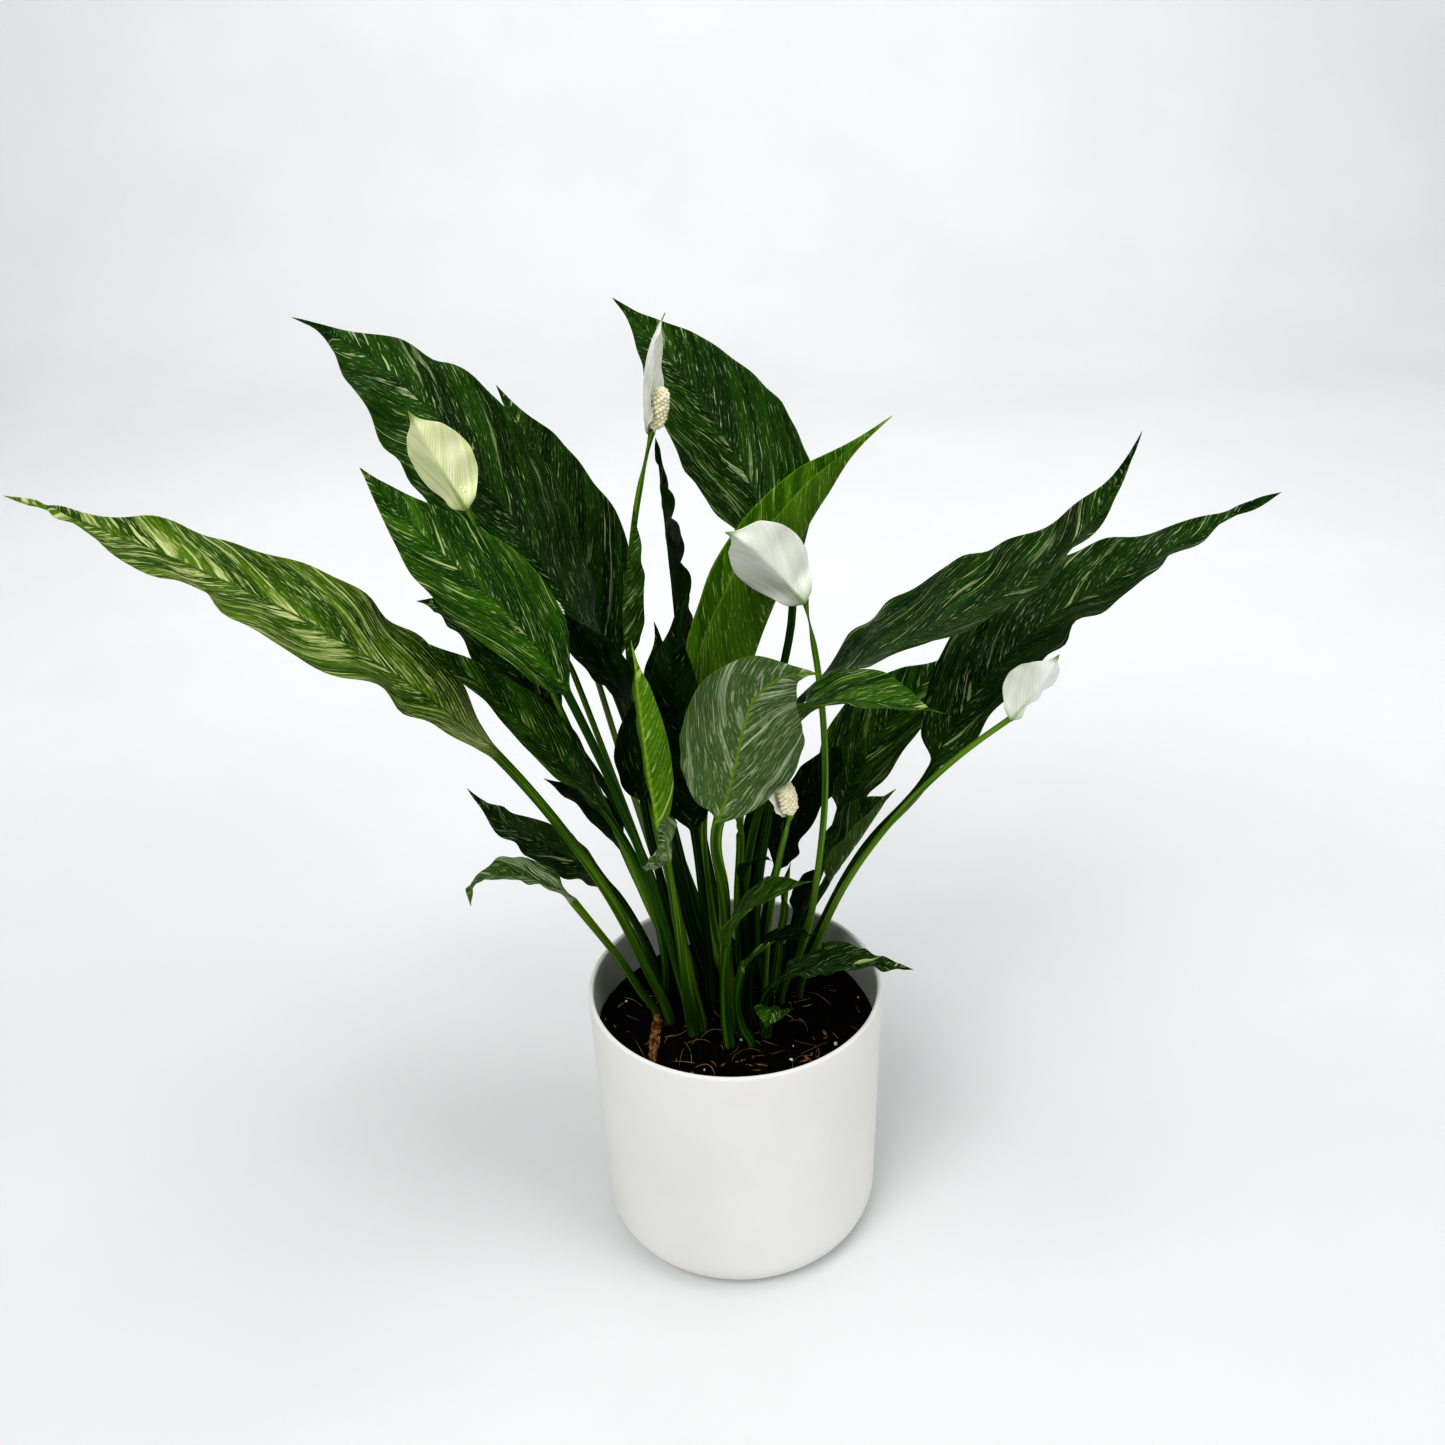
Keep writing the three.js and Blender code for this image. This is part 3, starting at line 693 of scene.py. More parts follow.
def spine(rings: Array) -> tuple[Array, Array]:
    """Middle of each ring, and the distance to it along the middles from the first."""
    centres = rings.mean(axis=1)
    steps = np.linalg.norm(np.diff(centres, axis=0), axis=1)
    return centres, np.concatenate([[0.0], np.cumsum(steps)])


def through(rings: Array, wanted: Array) -> tuple[Array, Array]:
    """Middle and spread of a skin at the wanted distances, from curves along its rings."""
    centres, length = spine(rings)
    centre = natural_spline(length, centres, wanted)
    return centre, steady_curve(length, rings - centres[:, None], wanted)


def round_the_ring(centre: Array, spread: Array, weights: Array) -> Array:
    """Fine rings: closed cubics round each ring of eight spread points."""
    return centre[:, None] + np.einsum("mk,nkc->nmc", weights, spread)


def vertices_of(node: str) -> Array:
    """Vertex positions of a CAD node."""
    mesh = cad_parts[node].data
    corners = np.empty(len(mesh.vertices) * 3)
    mesh.vertices.foreach_get("co", corners)
    return corners.reshape(-1, 3)


@dataclass
class StationedSkin:
    """The rings of eight points that a CAD skin is made of, in order from its base.

    Points of a ring run from the left edge over the upper face to the right edge and back
    under the lower face. Between two rings the diagonals of the lower half mirror those of
    the upper half, so a left edge point has one neighbour in the ring before it and a right
    edge point has three. That tells where each ring starts.
    """

    node: str
    rings: Array = field(init=False)
    tip: Array = field(init=False)

    def __post_init__(self) -> None:
        """Reads the node's mesh and orders its vertices."""
        points, near = self._read_mesh()
        levels = self._levels(near, self._flat_end(points, near))
        middles = [points[level].mean(axis=0) for level in levels]
        rings = []
        for number in range(1, len(levels) - 1):
            first = self._left_edge(near, levels, number)
            ring = self._walk(near, levels[number], first)
            ahead = middles[number + 1] - middles[number]
            rings.append(self._turned_left(points[ring], ahead))
        self.rings = np.stack(rings)
        self.tip = points[levels[-1][0]]

    def closed(self) -> Array:
        """The rings, and the tip as one more ring."""
        shut = np.repeat(self.tip[None, None], RING_POINTS, axis=1)
        return np.concatenate([self.rings, shut])

    def _read_mesh(self) -> tuple[Array, Array]:
        """Merged vertices of the node and their table of neighbours."""
        corners = vertices_of(self.node)
        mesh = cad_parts[self.node].data
        mesh.calc_loop_triangles()
        faces = np.empty(len(mesh.loop_triangles) * 3, dtype=np.int64)
        mesh.loop_triangles.foreach_get("vertices", faces)
        steps = np.round(corners * 1e6).astype(np.int64)
        _, first, merged = np.unique(steps, axis=0, return_index=True, return_inverse=True)
        points = corners[first]
        triangles = merged.reshape(-1)[faces].reshape(-1, 3)
        near = np.zeros((len(points), len(points)), dtype=bool)
        for one, other in ((0, 1), (1, 2), (2, 0)):
            near[triangles[:, one], triangles[:, other]] = True
            near[triangles[:, other], triangles[:, one]] = True
        return points, near

    @staticmethod
    def _flat_end(points: Array, near: Array) -> int:
        """The centre of the flat cap at the base: the lowest hub in the plane of its ring."""
        hubs = np.flatnonzero(near.sum(axis=1) == RING_POINTS)
        rings = np.stack([points[near[hub]] for hub in hubs])
        middles = rings.mean(axis=1)
        _, _, axes = np.linalg.svd(rings - middles[:, None])
        rise = np.abs(((points[hubs] - middles) * axes[:, 2]).sum(axis=1))
        flat = hubs[rise < 1e-4]
        return int(flat[np.argmin(points[flat, 2])])

    @staticmethod
    def _levels(near: Array, start: int) -> list[Array]:
        """Vertices by their number of edges from the start."""
        seen = np.zeros(len(near), dtype=bool)
        seen[start] = True
        levels = [np.array([start])]
        while not seen.all():
            fresh = near[levels[-1]].any(axis=0) & ~seen
            seen |= fresh
            levels.append(np.flatnonzero(fresh))
        return levels

    @staticmethod
    def _left_edge(near: Array, levels: list[Array], number: int) -> int:
        """The left edge point: one neighbour below, or three above in the first ring."""
        ring = levels[number]
        if number == 1:
            return int(ring[np.argmax(near[np.ix_(ring, levels[2])].sum(axis=1))])
        return int(ring[np.argmin(near[np.ix_(ring, levels[number - 1])].sum(axis=1))])

    @staticmethod
    def _walk(near: Array, level: Array, first: int) -> Array:
        """A ring's vertices in order from the first."""
        walk = [first]
        while len(walk) < len(level):
            walk.append(next(int(v) for v in level if near[walk[-1], v] and int(v) not in walk))
        return np.array(walk)

    @staticmethod
    def _turned_left(ring: Array, ahead: Array) -> Array:
        """The ring, reversed if needed so that it turns left about the way ahead."""
        spread = ring - ring.mean(axis=0)
        turn = np.cross(spread, np.roll(ring, -1, axis=0) - ring).sum(axis=0)
        if turn @ ahead < 0.0:
            return np.concatenate([ring[:1], ring[:0:-1]])
        return ring


# ---------------------------------------------------------------------------
# Mesh pieces
# ---------------------------------------------------------------------------


@dataclass
class Shape:
    """Points with four-cornered and three-cornered faces."""

    points: Array
    quads: Array
    triangles: Array

    @classmethod
    def from_rings(cls, rings: Array) -> "Shape":
        """A closed skin over rings that turn left: quads between them and a fan on each end.

        Args:
            rings: positions by ring and by place on the ring.

        Returns:
            The skin, its two cap centres last.
        """
        rows, columns = rings.shape[:2]
        ends = np.stack([rings[0].mean(axis=0), rings[-1].mean(axis=0)])
        row = np.arange(rows - 1)[:, None] * columns
        here = np.arange(columns)
        following = (here + 1) % columns
        above = row + columns
        quads = fan(row + here, row + following, above + following, above + here)
        first, last = rows * columns, (rows - 1) * columns
        bottom = fan(first, following, here)
        top = fan(last + here, last + following, first + 1)
        return cls(
            np.concatenate([rings.reshape(-1, 3), ends]),
            quads.reshape(-1, 4),
            np.concatenate([bottom, top]),
        )

    @classmethod
    def ball(cls, rows: int, columns: int) -> "Shape":
        """Unit ball of rings between two poles."""
        polar = np.linspace(0.0, math.pi, rows + 2)[1:-1, None]
        around = circle(columns)
        ball = cls.from_rings(
            fan(np.sin(polar) * np.cos(around), np.sin(polar) * np.sin(around), -np.cos(polar))
        )
        ball.points[-2:] = [[0.0, 0.0, -1.0], [0.0, 0.0, 1.0]]
        return ball

    def copies(self, frames: Array, places: Array) -> "Shape":
        """One copy per place, each through its own 3 by 3 frame."""
        points = np.einsum("nij,vj->nvi", frames, self.points) + places[:, None, :]
        return self.repeated(points)

    def repeated(self, points: Array) -> "Shape":
        """This shape's faces over several sets of points."""
        shift = np.arange(len(points))[:, None, None] * points.shape[1]
        return Shape(
            points.reshape(-1, 3),
            (self.quads + shift).reshape(-1, 4),
            (self.triangles + shift).reshape(-1, 3),
        )

    def joined(self, other: "Shape") -> "Shape":
        """Both shapes as one."""
        shift = len(self.points)
        return Shape(
            np.concatenate([self.points, other.points]),
            np.concatenate([self.quads, other.quads + shift]),
            np.concatenate([self.triangles, other.triangles + shift]),
        )


@dataclass
class PieceMaker:
    """Turns shapes into shown pieces that ride on the root body."""

    shelf: GroupShelf

    def make(
        self, name: str, shape: Shape, material: Material, slot: str, data: Data | None = None
    ) -> bpy.types.Object:
        """Builds one smooth mesh object.

        Args:
            name: name of the piece.
            shape: its points and faces.
            material: finish of the piece.
            slot: material slot of the record; not used.
            data: vector values per vertex, by attribute name.

        Returns:
            The new object.
        """
        mesh = bpy.data.meshes.new(name)
        quads, triangles = shape.quads, shape.triangles
        corners = np.concatenate([quads.reshape(-1), triangles.reshape(-1)]).astype(np.int32)
        sizes = np.concatenate([np.full(len(quads), 4), np.full(len(triangles), 3)])
        starts = np.concatenate([[0], np.cumsum(sizes)[:-1]]).astype(np.int32)
        mesh.vertices.add(len(shape.points))
        mesh.vertices.foreach_set("co", shape.points.astype(np.float32).reshape(-1))
        mesh.loops.add(len(corners))
        mesh.loops.foreach_set("vertex_index", corners)
        mesh.polygons.add(len(sizes))
        mesh.polygons.foreach_set("loop_start", starts)
        mesh.polygons.foreach_set("use_smooth", np.full(len(sizes), True))
        for label, values in (data or {}).items():
            layer = mesh.attributes.new(label, "FLOAT_VECTOR", "POINT")
            layer.data.foreach_set("vector", values.astype(np.float32).reshape(-1))
        mesh.update(calc_edges=True)
        mesh.validate()
        mesh.materials.append(material)
        piece = bpy.data.objects.new(name, mesh)
        bpy.context.scene.collection.objects.link(piece)
        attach(piece, ROOT_BODY)
        return piece

    def make_for(
        self, node: str, shape: Shape, material: Material, slot: str, data: Data | None = None
    ) -> None:
        """Builds the fine piece that takes a CAD node's place."""
        piece = self.make(f"{node}_fine", shape, material, slot, data)
        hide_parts(node)
        LOG.info("%s: %d faces", node, len(shape.quads) + len(shape.triangles))


# ---------------------------------------------------------------------------
# Plant
# ---------------------------------------------------------------------------


@dataclass(frozen=True)
class LeafHabit:
    """How one leaf looks: its colouring, the ruffle of its margin in metres and its tip.

    pinch is the share of the width that the drawn-out tip loses, pale_base how far the foot
    of the blade turns grey-green.
    """

    kind: LeafKind
    ruffle: float
    waves: float
    pinch: float = 0.5
    pale_base: float = 0.0


LEAF_HABITS: dict[str, LeafHabit] = {
    "leaf_far_left": LeafHabit(LeafKind.STRIPED, 0.0034, 6.0, 0.62, 0.8),
    "leaf_back_left": LeafHabit(LeafKind.FLECKED, 0.0024, 8.0, 0.72),
    "leaf_behind_left": LeafHabit(LeafKind.FLECKED, 0.0012, 6.0),
    "leaf_left_front": LeafHabit(LeafKind.MARBLED, 0.0008, 4.0, 0.1),
    "leaf_left_under": LeafHabit(LeafKind.FLECKED, 0.0014, 5.0),
    "leaf_low_left_long": LeafHabit(LeafKind.MARBLED, 0.0008, 4.0),
    "leaf_dark_mid": LeafHabit(LeafKind.DARK, 0.0012, 5.0),
    "leaf_stalk_side": LeafHabit(LeafKind.FLECKED, 0.0014, 4.0),
    "leaf_edge_on": LeafHabit(LeafKind.DARK, 0.0018, 7.0),
    "leaf_dark_center": LeafHabit(LeafKind.DARK, 0.0008, 4.0),
    "leaf_core": LeafHabit(LeafKind.DARK, 0.0010, 4.0),
    "leaf_back_centre": LeafHabit(LeafKind.FLECKED, 0.0014, 7.0, 0.45),
    "leaf_right_tall": LeafHabit(LeafKind.FRESH, 0.0006, 5.0),
    "leaf_front_grey": LeafHabit(LeafKind.GREY, 0.001, 6.0),
    "leaf_front_narrow": LeafHabit(LeafKind.FRESH, 0.0008, 4.0),
    "leaf_small_edge": LeafHabit(LeafKind.GREY, 0.0016, 4.0),
    "leaf_curled_low_left": LeafHabit(LeafKind.GREY, 0.0016, 5.0, 0.3, 0.6),
    "leaf_low_left_dark": LeafHabit(LeafKind.FLECKED, 0.0016, 5.0),
    "leaf_low_left_behind": LeafHabit(LeafKind.DARK, 0.0008, 3.0),
    "leaf_right_upper": LeafHabit(LeafKind.FLECKED, 0.0022, 6.0, 0.6),
    "leaf_right_lower": LeafHabit(LeafKind.FLECKED, 0.0024, 7.0, 0.4),
    "leaf_right_short": LeafHabit(LeafKind.MARBLED, 0.0008, 4.0),
    "leaf_right_back": LeafHabit(LeafKind.MARBLED, 0.0010, 4.0),
    "leaf_right_low": LeafHabit(LeafKind.MARBLED, 0.001, 4.0),
    "leaf_dark_right": LeafHabit(LeafKind.DARK, 0.0018, 5.0),
    "leaf_dark_strap": LeafHabit(LeafKind.DARK, 0.0006, 3.0),
    "leaf_front_small": LeafHabit(LeafKind.MARBLED, 0.0008, 4.0),
    "leaf_front_tiny": LeafHabit(LeafKind.DARK, 0.0008, 4.0),
    "leaf_front_long": LeafHabit(LeafKind.FLECKED, 0.0014, 7.0),
    "leaf_heart": LeafHabit(LeafKind.MARBLED, 0.0003, 3.0),
    "leaf_front_inner": LeafHabit(LeafKind.MARBLED, 0.0004, 3.0),
    "leaf_spike": LeafHabit(LeafKind.FRESH, 0.0002, 3.0),
    "leaf_right_rim": LeafHabit(LeafKind.DARK, 0.0008, 3.0),
    "leaf_mid_narrow": LeafHabit(LeafKind.FRESH, 0.0003, 3.0),
    "leaf_mid_curled": LeafHabit(LeafKind.DARK, 0.0008, 3.0),
}


@dataclass
class BladeSurface:
    """Fine closed skin through CAD stations: round at the stem, thin and ribbed at the blade.

    The middle layer is a spline along the stations of closed cubics round each ring. The
    blade is that layer with its margin waved by a sine that grows with the square of the
    distance from the midrib, thickened by a few tenths of a millimetre, grooved above the
    midrib and ribbed below it by a bell curve that fades towards the tip.
    """

    skin: StationedSkin
    joint: int
    thickness: float
    ruffle: float
    waves: float
    rib: float
    seed: float
    pinch: float
    rows_stem: int = 26
    rows_blade: int = 84
    sunk: float = STEM_SUNK
    pale_base: float = 0.0

    HALF_TURNS = (
        0.0, 0.12, 0.3, 0.55, 0.8, 1.05, 1.3, 1.52, 1.7, 1.82, 1.9, 1.95, 2.0,
        2.05, 2.1, 2.18, 2.3, 2.48, 2.7, 2.95, 3.2, 3.45, 3.7, 3.88, 4.0,
    )

    def build(self) -> tuple[Shape, Data]:
        """Computes the closed skin and its vertex data."""
        rings = self.skin.closed()
        joint = self.joint
        if self.sunk > 0.0:
            rings = np.concatenate([rings[:1] - np.array([0.0, 0.0, self.sunk]), rings])
            joint += 1
        _, length = spine(rings)
        wanted = self._wanted(length, joint)
        centre, spread = through(rings, wanted)
        half = np.array(self.HALF_TURNS)
        turns = np.concatenate([half, RING_POINTS - half[-2:0:-1]])
        weights = round_weights(turns % RING_POINTS)
        along = wanted - length[joint]
        share = np.clip(along / (length[-1] - length[joint]), 0.0, 1.0)
        fine = round_the_ring(centre, spread * self._girth(share), weights)
        share_across = weights @ np.array([1.0, 0.5, 0.0, -0.5, -1.0, -0.5, 0.0, 0.5])
        mirror = (-np.arange(len(turns))) % len(turns)
        middle = 0.5 * (fine + fine[:, mirror])
        thick = 0.5 * (fine - fine[:, mirror])
        width = 0.5 * np.linalg.norm(fine[:, 0] - fine[:, len(half) - 1], axis=1)
        across = share_across * width[:, None]
        above = np.zeros(len(turns))
        above[1 : len(half) - 1] = 1.0
        above[len(half) :] = -1.0

        face = self._faces(middle, fine, len(half))
        middle = middle + face * self._wave(share, share_across)[..., None]
        blade = middle + face * self._height(share, across, share_across, above)[..., None]
        leafy = smooth_step(share / 0.1)[:, None, None]
        fine = (middle + thick) * (1.0 - leafy) + blade * leafy
        fine[-1] = self.skin.tip
        data = self._data(along, share, across, share_across, above, turns / RING_POINTS)
        return Shape.from_rings(fine), with_cap_data(data)

    def _wanted(self, length: Array, joint: int) -> Array:
        """Positions along the axis, closer together at the joint and the tip."""
        stem = np.linspace(0.0, length[joint], self.rows_stem, endpoint=False)
        share = np.linspace(0.0, 1.0, self.rows_blade)
        eased = 0.5 * (1.0 - np.cos(math.pi * share)) * 0.45 + share * 0.55
        blade = length[joint] + (length[-1] - length[joint]) * eased
        return np.concatenate([stem, blade]) if joint > 0 else blade

    def _girth(self, share: Array) -> Array:
        """Share of the station's width: the margin undulates, and the tip is drawn out."""
        drawn = 1.0 - self.pinch * smooth_step((share - 0.76) / 0.17)
        beat = np.sin(2.0 * math.pi * 1.3 * self.waves * share + 2.0 * self.seed)
        slow = np.sin(2.0 * math.pi * 0.6 * self.waves * share + self.seed)
        ripple = 6.0 * self.ruffle * (beat + slow) * smooth_step(share / 0.15)
        return (drawn * (1.0 + ripple))[:, None, None]

    @staticmethod
    def _faces(middle: Array, fine: Array, half: int) -> Array:
        """Unit normals of the middle layer that point to the upper side."""
        top = middle[:, :half]
        normal = np.cross(np.gradient(top, axis=0), np.gradient(top, axis=1))
        size = np.linalg.norm(normal, axis=-1, keepdims=True)
        up = fine[:, half // 2] - fine[:, -(half // 2)]
        fallback = np.repeat(up[:, None], half, axis=1)
        fallback /= np.maximum(np.linalg.norm(fallback, axis=-1, keepdims=True), 1e-12)
        normal = np.where(size > 1e-12, normal / np.maximum(size, 1e-12), fallback)
        flip = np.sign((normal * fallback).sum(axis=-1, keepdims=True))
        normal = np.where(flip < 0.0, -normal, normal)
        return np.concatenate([normal, normal[:, -2:0:-1]], axis=1)

    def _wave(self, share: Array, share_across: Array) -> Array:
        """Height of the margin's ruffle and of gentle swellings inside the blade."""
        side = np.sign(share_across)[None, :]
        grow = np.abs(share_across)[None, :] ** 2
        ends = (smooth_step(share / 0.2) * smooth_step((1.0 - share) / 0.12))[:, None]
        phase = 2.0 * math.pi * self.waves * share[:, None] + 1.9 * side + self.seed
        slow = 2.0 * math.pi * (0.45 * self.waves + 0.3 * side) * share[:, None] + 2.3 * self.seed
        ruffle = np.sin(phase + 0.8 * np.sin(slow)) * (0.65 + 0.35 * np.sin(slow))
        swell = 0.6 * np.sin(slow * 1.7) * np.sin(math.pi * np.abs(share_across))[None, :]
        return self.ruffle * ends * (grow * ruffle + swell)

    def _height(self, share: Array, across: Array, share_across: Array, above: Array) -> Array:
        """Height of each face over the middle layer: thin at the edge, grooved and ribbed."""
        bell = np.exp(-((across / 0.0011) ** 2))
        edge = np.sqrt(np.clip(1.0 - np.abs(share_across) ** 6, 0.0, 1.0))
        upper = self.thickness * edge - 0.5 * self.thickness * bell
        lower = self.thickness * edge + self.rib * (1.0 - share[:, None]) * bell
        return np.where(above > 0.0, upper, np.where(above < 0.0, -lower, 0.0))

    def _data(
        self,
        along: Array,
        share: Array,
        across: Array,
        share_across: Array,
        above: Array,
        around: Array,
    ) -> Data:
        """Vertex data: where on its vein a point lies, and stem, upper side and midrib values.

        A side vein leaves the midrib slanting forward and bends towards the tip, so the place
        where it starts is the distance along, less a share of the distance across and less
        its square over the widest half width.
        """
        along, share = along[:, None], share[:, None]
        pale = self.pale_base * (1.0 - smooth_step((share - 0.05) / 0.14))
        reach = np.abs(across)
        start = along - 1.4 * reach - 1.3 * reach**2 / max(float(reach.max()), 1e-4)
        stem = 1.0 - smooth_step(share / 0.05)
        start = np.where(stem > 0.5, along, start)
        second = np.where(stem > 0.5, around, reach)
        return {
            "vein": fan(start + 0.37 * self.seed, second, np.sign(share_across)),
            "blade": fan(stem, 0.5 + 0.5 * above, across),
            "shares": fan(share, np.abs(share_across), pale),
        }


def with_cap_data(data: Data) -> Data:
    """Values by ring as one list, the first and last ring's again for the two cap centres."""
    return {
        name: np.concatenate([values.reshape(-1, 3), values[0, :1], values[-1, :1]])
        for name, values in data.items()
    }


@dataclass
class Foliage:
    """All leaves, each grown as one piece from its sheathed petiole to its drawn-out tip."""

    maker: PieceMaker
    thickness: float = 0.00022
    rib: float = 0.0011
    petiole_rings: int = 5

    def build(self) -> None:
        """Builds every leaf on its CAD node."""
        shelf = self.maker.shelf
        finishes = {kind: finish.build(shelf) for kind, finish in LEAF_FINISHES.items()}
        for number, (node, habit) in enumerate(LEAF_HABITS.items()):
            shape, data = BladeSurface(
                skin=StationedSkin(node),
                joint=self.petiole_rings - 1,
                thickness=self.thickness,
                ruffle=habit.ruffle,
                waves=habit.waves,
                rib=self.rib,
                seed=1.0 + 1.31 * number,
                pinch=habit.pinch,
                pale_base=habit.pale_base,
            ).build()
            self.maker.make_for(node, shape, finishes[habit.kind], "leaf", data)


@dataclass(frozen=True)
class FlowerHabit:
    """How one flower looks: its spathe finish and the ruffle of its margin in metres."""

    spathe: SpatheFinish
    ruffle: float


FLOWER_HABITS: dict[str, FlowerHabit] = {
    "flower_cream_left": FlowerHabit(SPATHE_CREAM, 0.0006),
    "flower_top": FlowerHabit(SPATHE_WHITE, 0.0008),
    "flower_large_white": FlowerHabit(SPATHE_WHITE, 0.0005),
    "flower_right": FlowerHabit(SPATHE_WHITE, 0.0009),
    "flower_small_front": FlowerHabit(SPATHE_WHITE, 0.0012),
    "flower_hidden_left": FlowerHabit(SPATHE_CREAM, 0.0006),
}


@dataclass
class Blossoms:
    """Flower stalks, spathes and spadices, and the stub of a dead stalk."""

    maker: PieceMaker
    reach_up: float = 0.0035
    columns: int = 20
    stalk_rows: int = 110
    core_rows: int = 30
    knob_size: float = 0.0012
    knobs_per_size: float = 6.6
    knob_seed: int = 40

    def build(self) -> None:
        """Builds every flower on its CAD nodes."""
        shelf = self.maker.shelf
        green = STALK_GREEN.build(shelf)
        cream = SPADIX_CREAM.build(shelf)
        spathes = {finish: finish.build(shelf) for finish in (SPATHE_WHITE, SPATHE_CREAM)}
        for number, (name, habit) in enumerate(FLOWER_HABITS.items()):
            self._stalk(f"{name}_stalk", green, self.reach_up)
            self._spathe(f"{name}_spathe", spathes[habit.spathe], habit.ruffle, 1.0 + number)
            self._spadix(f"{name}_spadix", cream, number)
        self._stalk("stalk_stub", STALK_DRY.build(shelf), 0.0)

    def _stalk(self, node: str, material: Material, reach_up: float) -> None:
        """A tapering stem that swells and shuts where it reaches up into its flower."""
        rings = StationedSkin(node).rings
        rings = np.concatenate([rings[:1] - np.array([0.0, 0.0, STEM_SUNK]), rings])
        if reach_up > 0.0:
            centre = rings[-1].mean(axis=0)
            ahead = unit(centre - rings[-2].mean(axis=0))
            swollen = centre + (rings[-1] - centre) * 1.25 + 0.5 * reach_up * ahead
            shut = centre + (rings[-1] - centre) * 0.45 + reach_up * ahead
            rings = np.concatenate([rings, swollen[None], shut[None]])
        _, length = spine(rings)
        even = np.linspace(0.0, length[-1], self.stalk_rows)
        wanted = np.unique(np.concatenate([even, length]))
        turns = np.arange(self.columns) * float(RING_POINTS) / self.columns
        fine = round_the_ring(*through(rings, wanted), round_weights(turns))
        data = with_cap_data({"vein": fan(wanted[:, None], turns / RING_POINTS, 0.0)})
        self.maker.make_for(node, Shape.from_rings(fine), material, "stalk", data)

    def _spathe(self, node: str, material: Material, ruffle: float, seed: float) -> None:
        """A cupped petal: the same ribbed skin as a leaf, without a stem."""
        shape, data = BladeSurface(
            skin=StationedSkin(node), joint=0, thickness=0.0003, ruffle=ruffle, waves=3.0,
            rib=0.0007, rows_blade=60, sunk=0.0, seed=seed, pinch=0.62,
        ).build()
        self.maker.make_for(node, shape, material, "spathe", data)

    def _spadix(self, node: str, material: Material, number: int) -> None:
        """Core with rows of small flowers set round it at the golden angle."""
        rings = StationedSkin(node).closed()
        centres, length = spine(rings)
        girth = np.linalg.norm(rings - centres[:, None], axis=2).mean(axis=1)
        axis = (centres[-1] - centres[0]) / length[-1]
        side = unit(rings[2, 0] - centres[2])
        face = np.cross(axis, side)
        wanted = np.linspace(0.0, length[-1], self.core_rows)
        radius = steady_curve(length, girth, wanted)[:, None]
        angles = circle(self.columns)
        ring = np.cos(angles)[:, None] * side + np.sin(angles)[:, None] * face
        core = centres[0] + wanted[:, None, None] * axis + 0.93 * radius[..., None] * ring[None]

        count = int(self.knobs_per_size * length[-1] / self.knob_size)
        spot = np.linspace(0.16, 0.985, count) * length[-1]
        around = np.arange(count) * math.pi * (3.0 - math.sqrt(5.0))
        out = np.cos(around)[:, None] * side + np.sin(around)[:, None] * face
        out_radius = np.maximum(steady_curve(length, girth, spot), 0.0003)[:, None]
        places = centres[0] + spot[:, None] * axis + out * out_radius
        rng = np.random.default_rng(self.knob_seed + number)
        size = self.knob_size * rng.uniform(0.8, 1.2, count)
        frames = np.stack(
            [np.cross(out, axis), np.broadcast_to(axis, out.shape), out * 1.5], axis=2
        )
        knobs = Shape.ball(3, 7).copies(frames * size[:, None, None], places)
        self.maker.make_for(node, Shape.from_rings(core).joined(knobs), material, "spadix")


# ---------------------------------------------------------------------------
# Pot and soil
# ---------------------------------------------------------------------------


@dataclass
class CoverPot:
    """Plain tapering pot with a large foot corner and a softly rounded rim, turned on a lathe.

    The outline runs from the foot's centre out, round the foot corner by a quarter circle,
    up the wall, over the rim by a half circle and down the inside.
    """

    maker: PieceMaker
    height: float = 0.146
    rim_radius: float = 0.075
    wall: float = 0.0027
    taper: float = 0.019
    corner: float = 0.020
    pin_hole: float = 0.0008
    segments: int = 160

    def outline(self) -> Array:
        """Radius and height of the pot's section, from the foot's centre round to the inside."""
        flat = self.rim_radius - self.taper * (self.height - self.corner) - self.corner
        quarter = np.linspace(0.0, math.pi / 2.0, 15)
        half = np.linspace(0.0, math.pi, 11)
        soft = self.wall / 2.0
        foot = fan(np.linspace(self.pin_hole, flat, 7), 0.0)
        bend = fan(flat + self.corner * np.sin(quarter), self.corner * (1.0 - np.cos(quarter)))
        rise = np.linspace(self.corner, self.height - soft, 24)[1:]
        outer = fan(self.rim_radius - self.taper * (self.height - rise), rise)
        rim = fan(
            self.rim_radius - soft + soft * np.cos(half),
            self.height - soft + soft * np.sin(half),
        )
        inner = outer[::-1] - np.array([self.wall, 0.0])
        hollow = self.corner - self.wall
        turn = fan(
            flat + hollow * np.sin(quarter[::-1]),
            self.wall + hollow * (1.0 - np.cos(quarter[::-1])),
        )
        floor = fan(np.linspace(flat, self.pin_hole, 5)[1:], self.wall)
        return np.concatenate([foot, bend[1:], outer, rim[1:-1], inner, turn[1:], floor])

    def build(self) -> None:
        """Turns the outline and closes it at the axis."""
        outline = self.outline()
        around = circle(self.segments)
        radius, height = outline[:, :1], outline[:, 1:]
        shape = Shape.from_rings(fan(radius * np.cos(around), radius * np.sin(around), height))
        self.maker.make_for("pot", shape, POT_WHITE.build(self.maker.shelf), "pot")


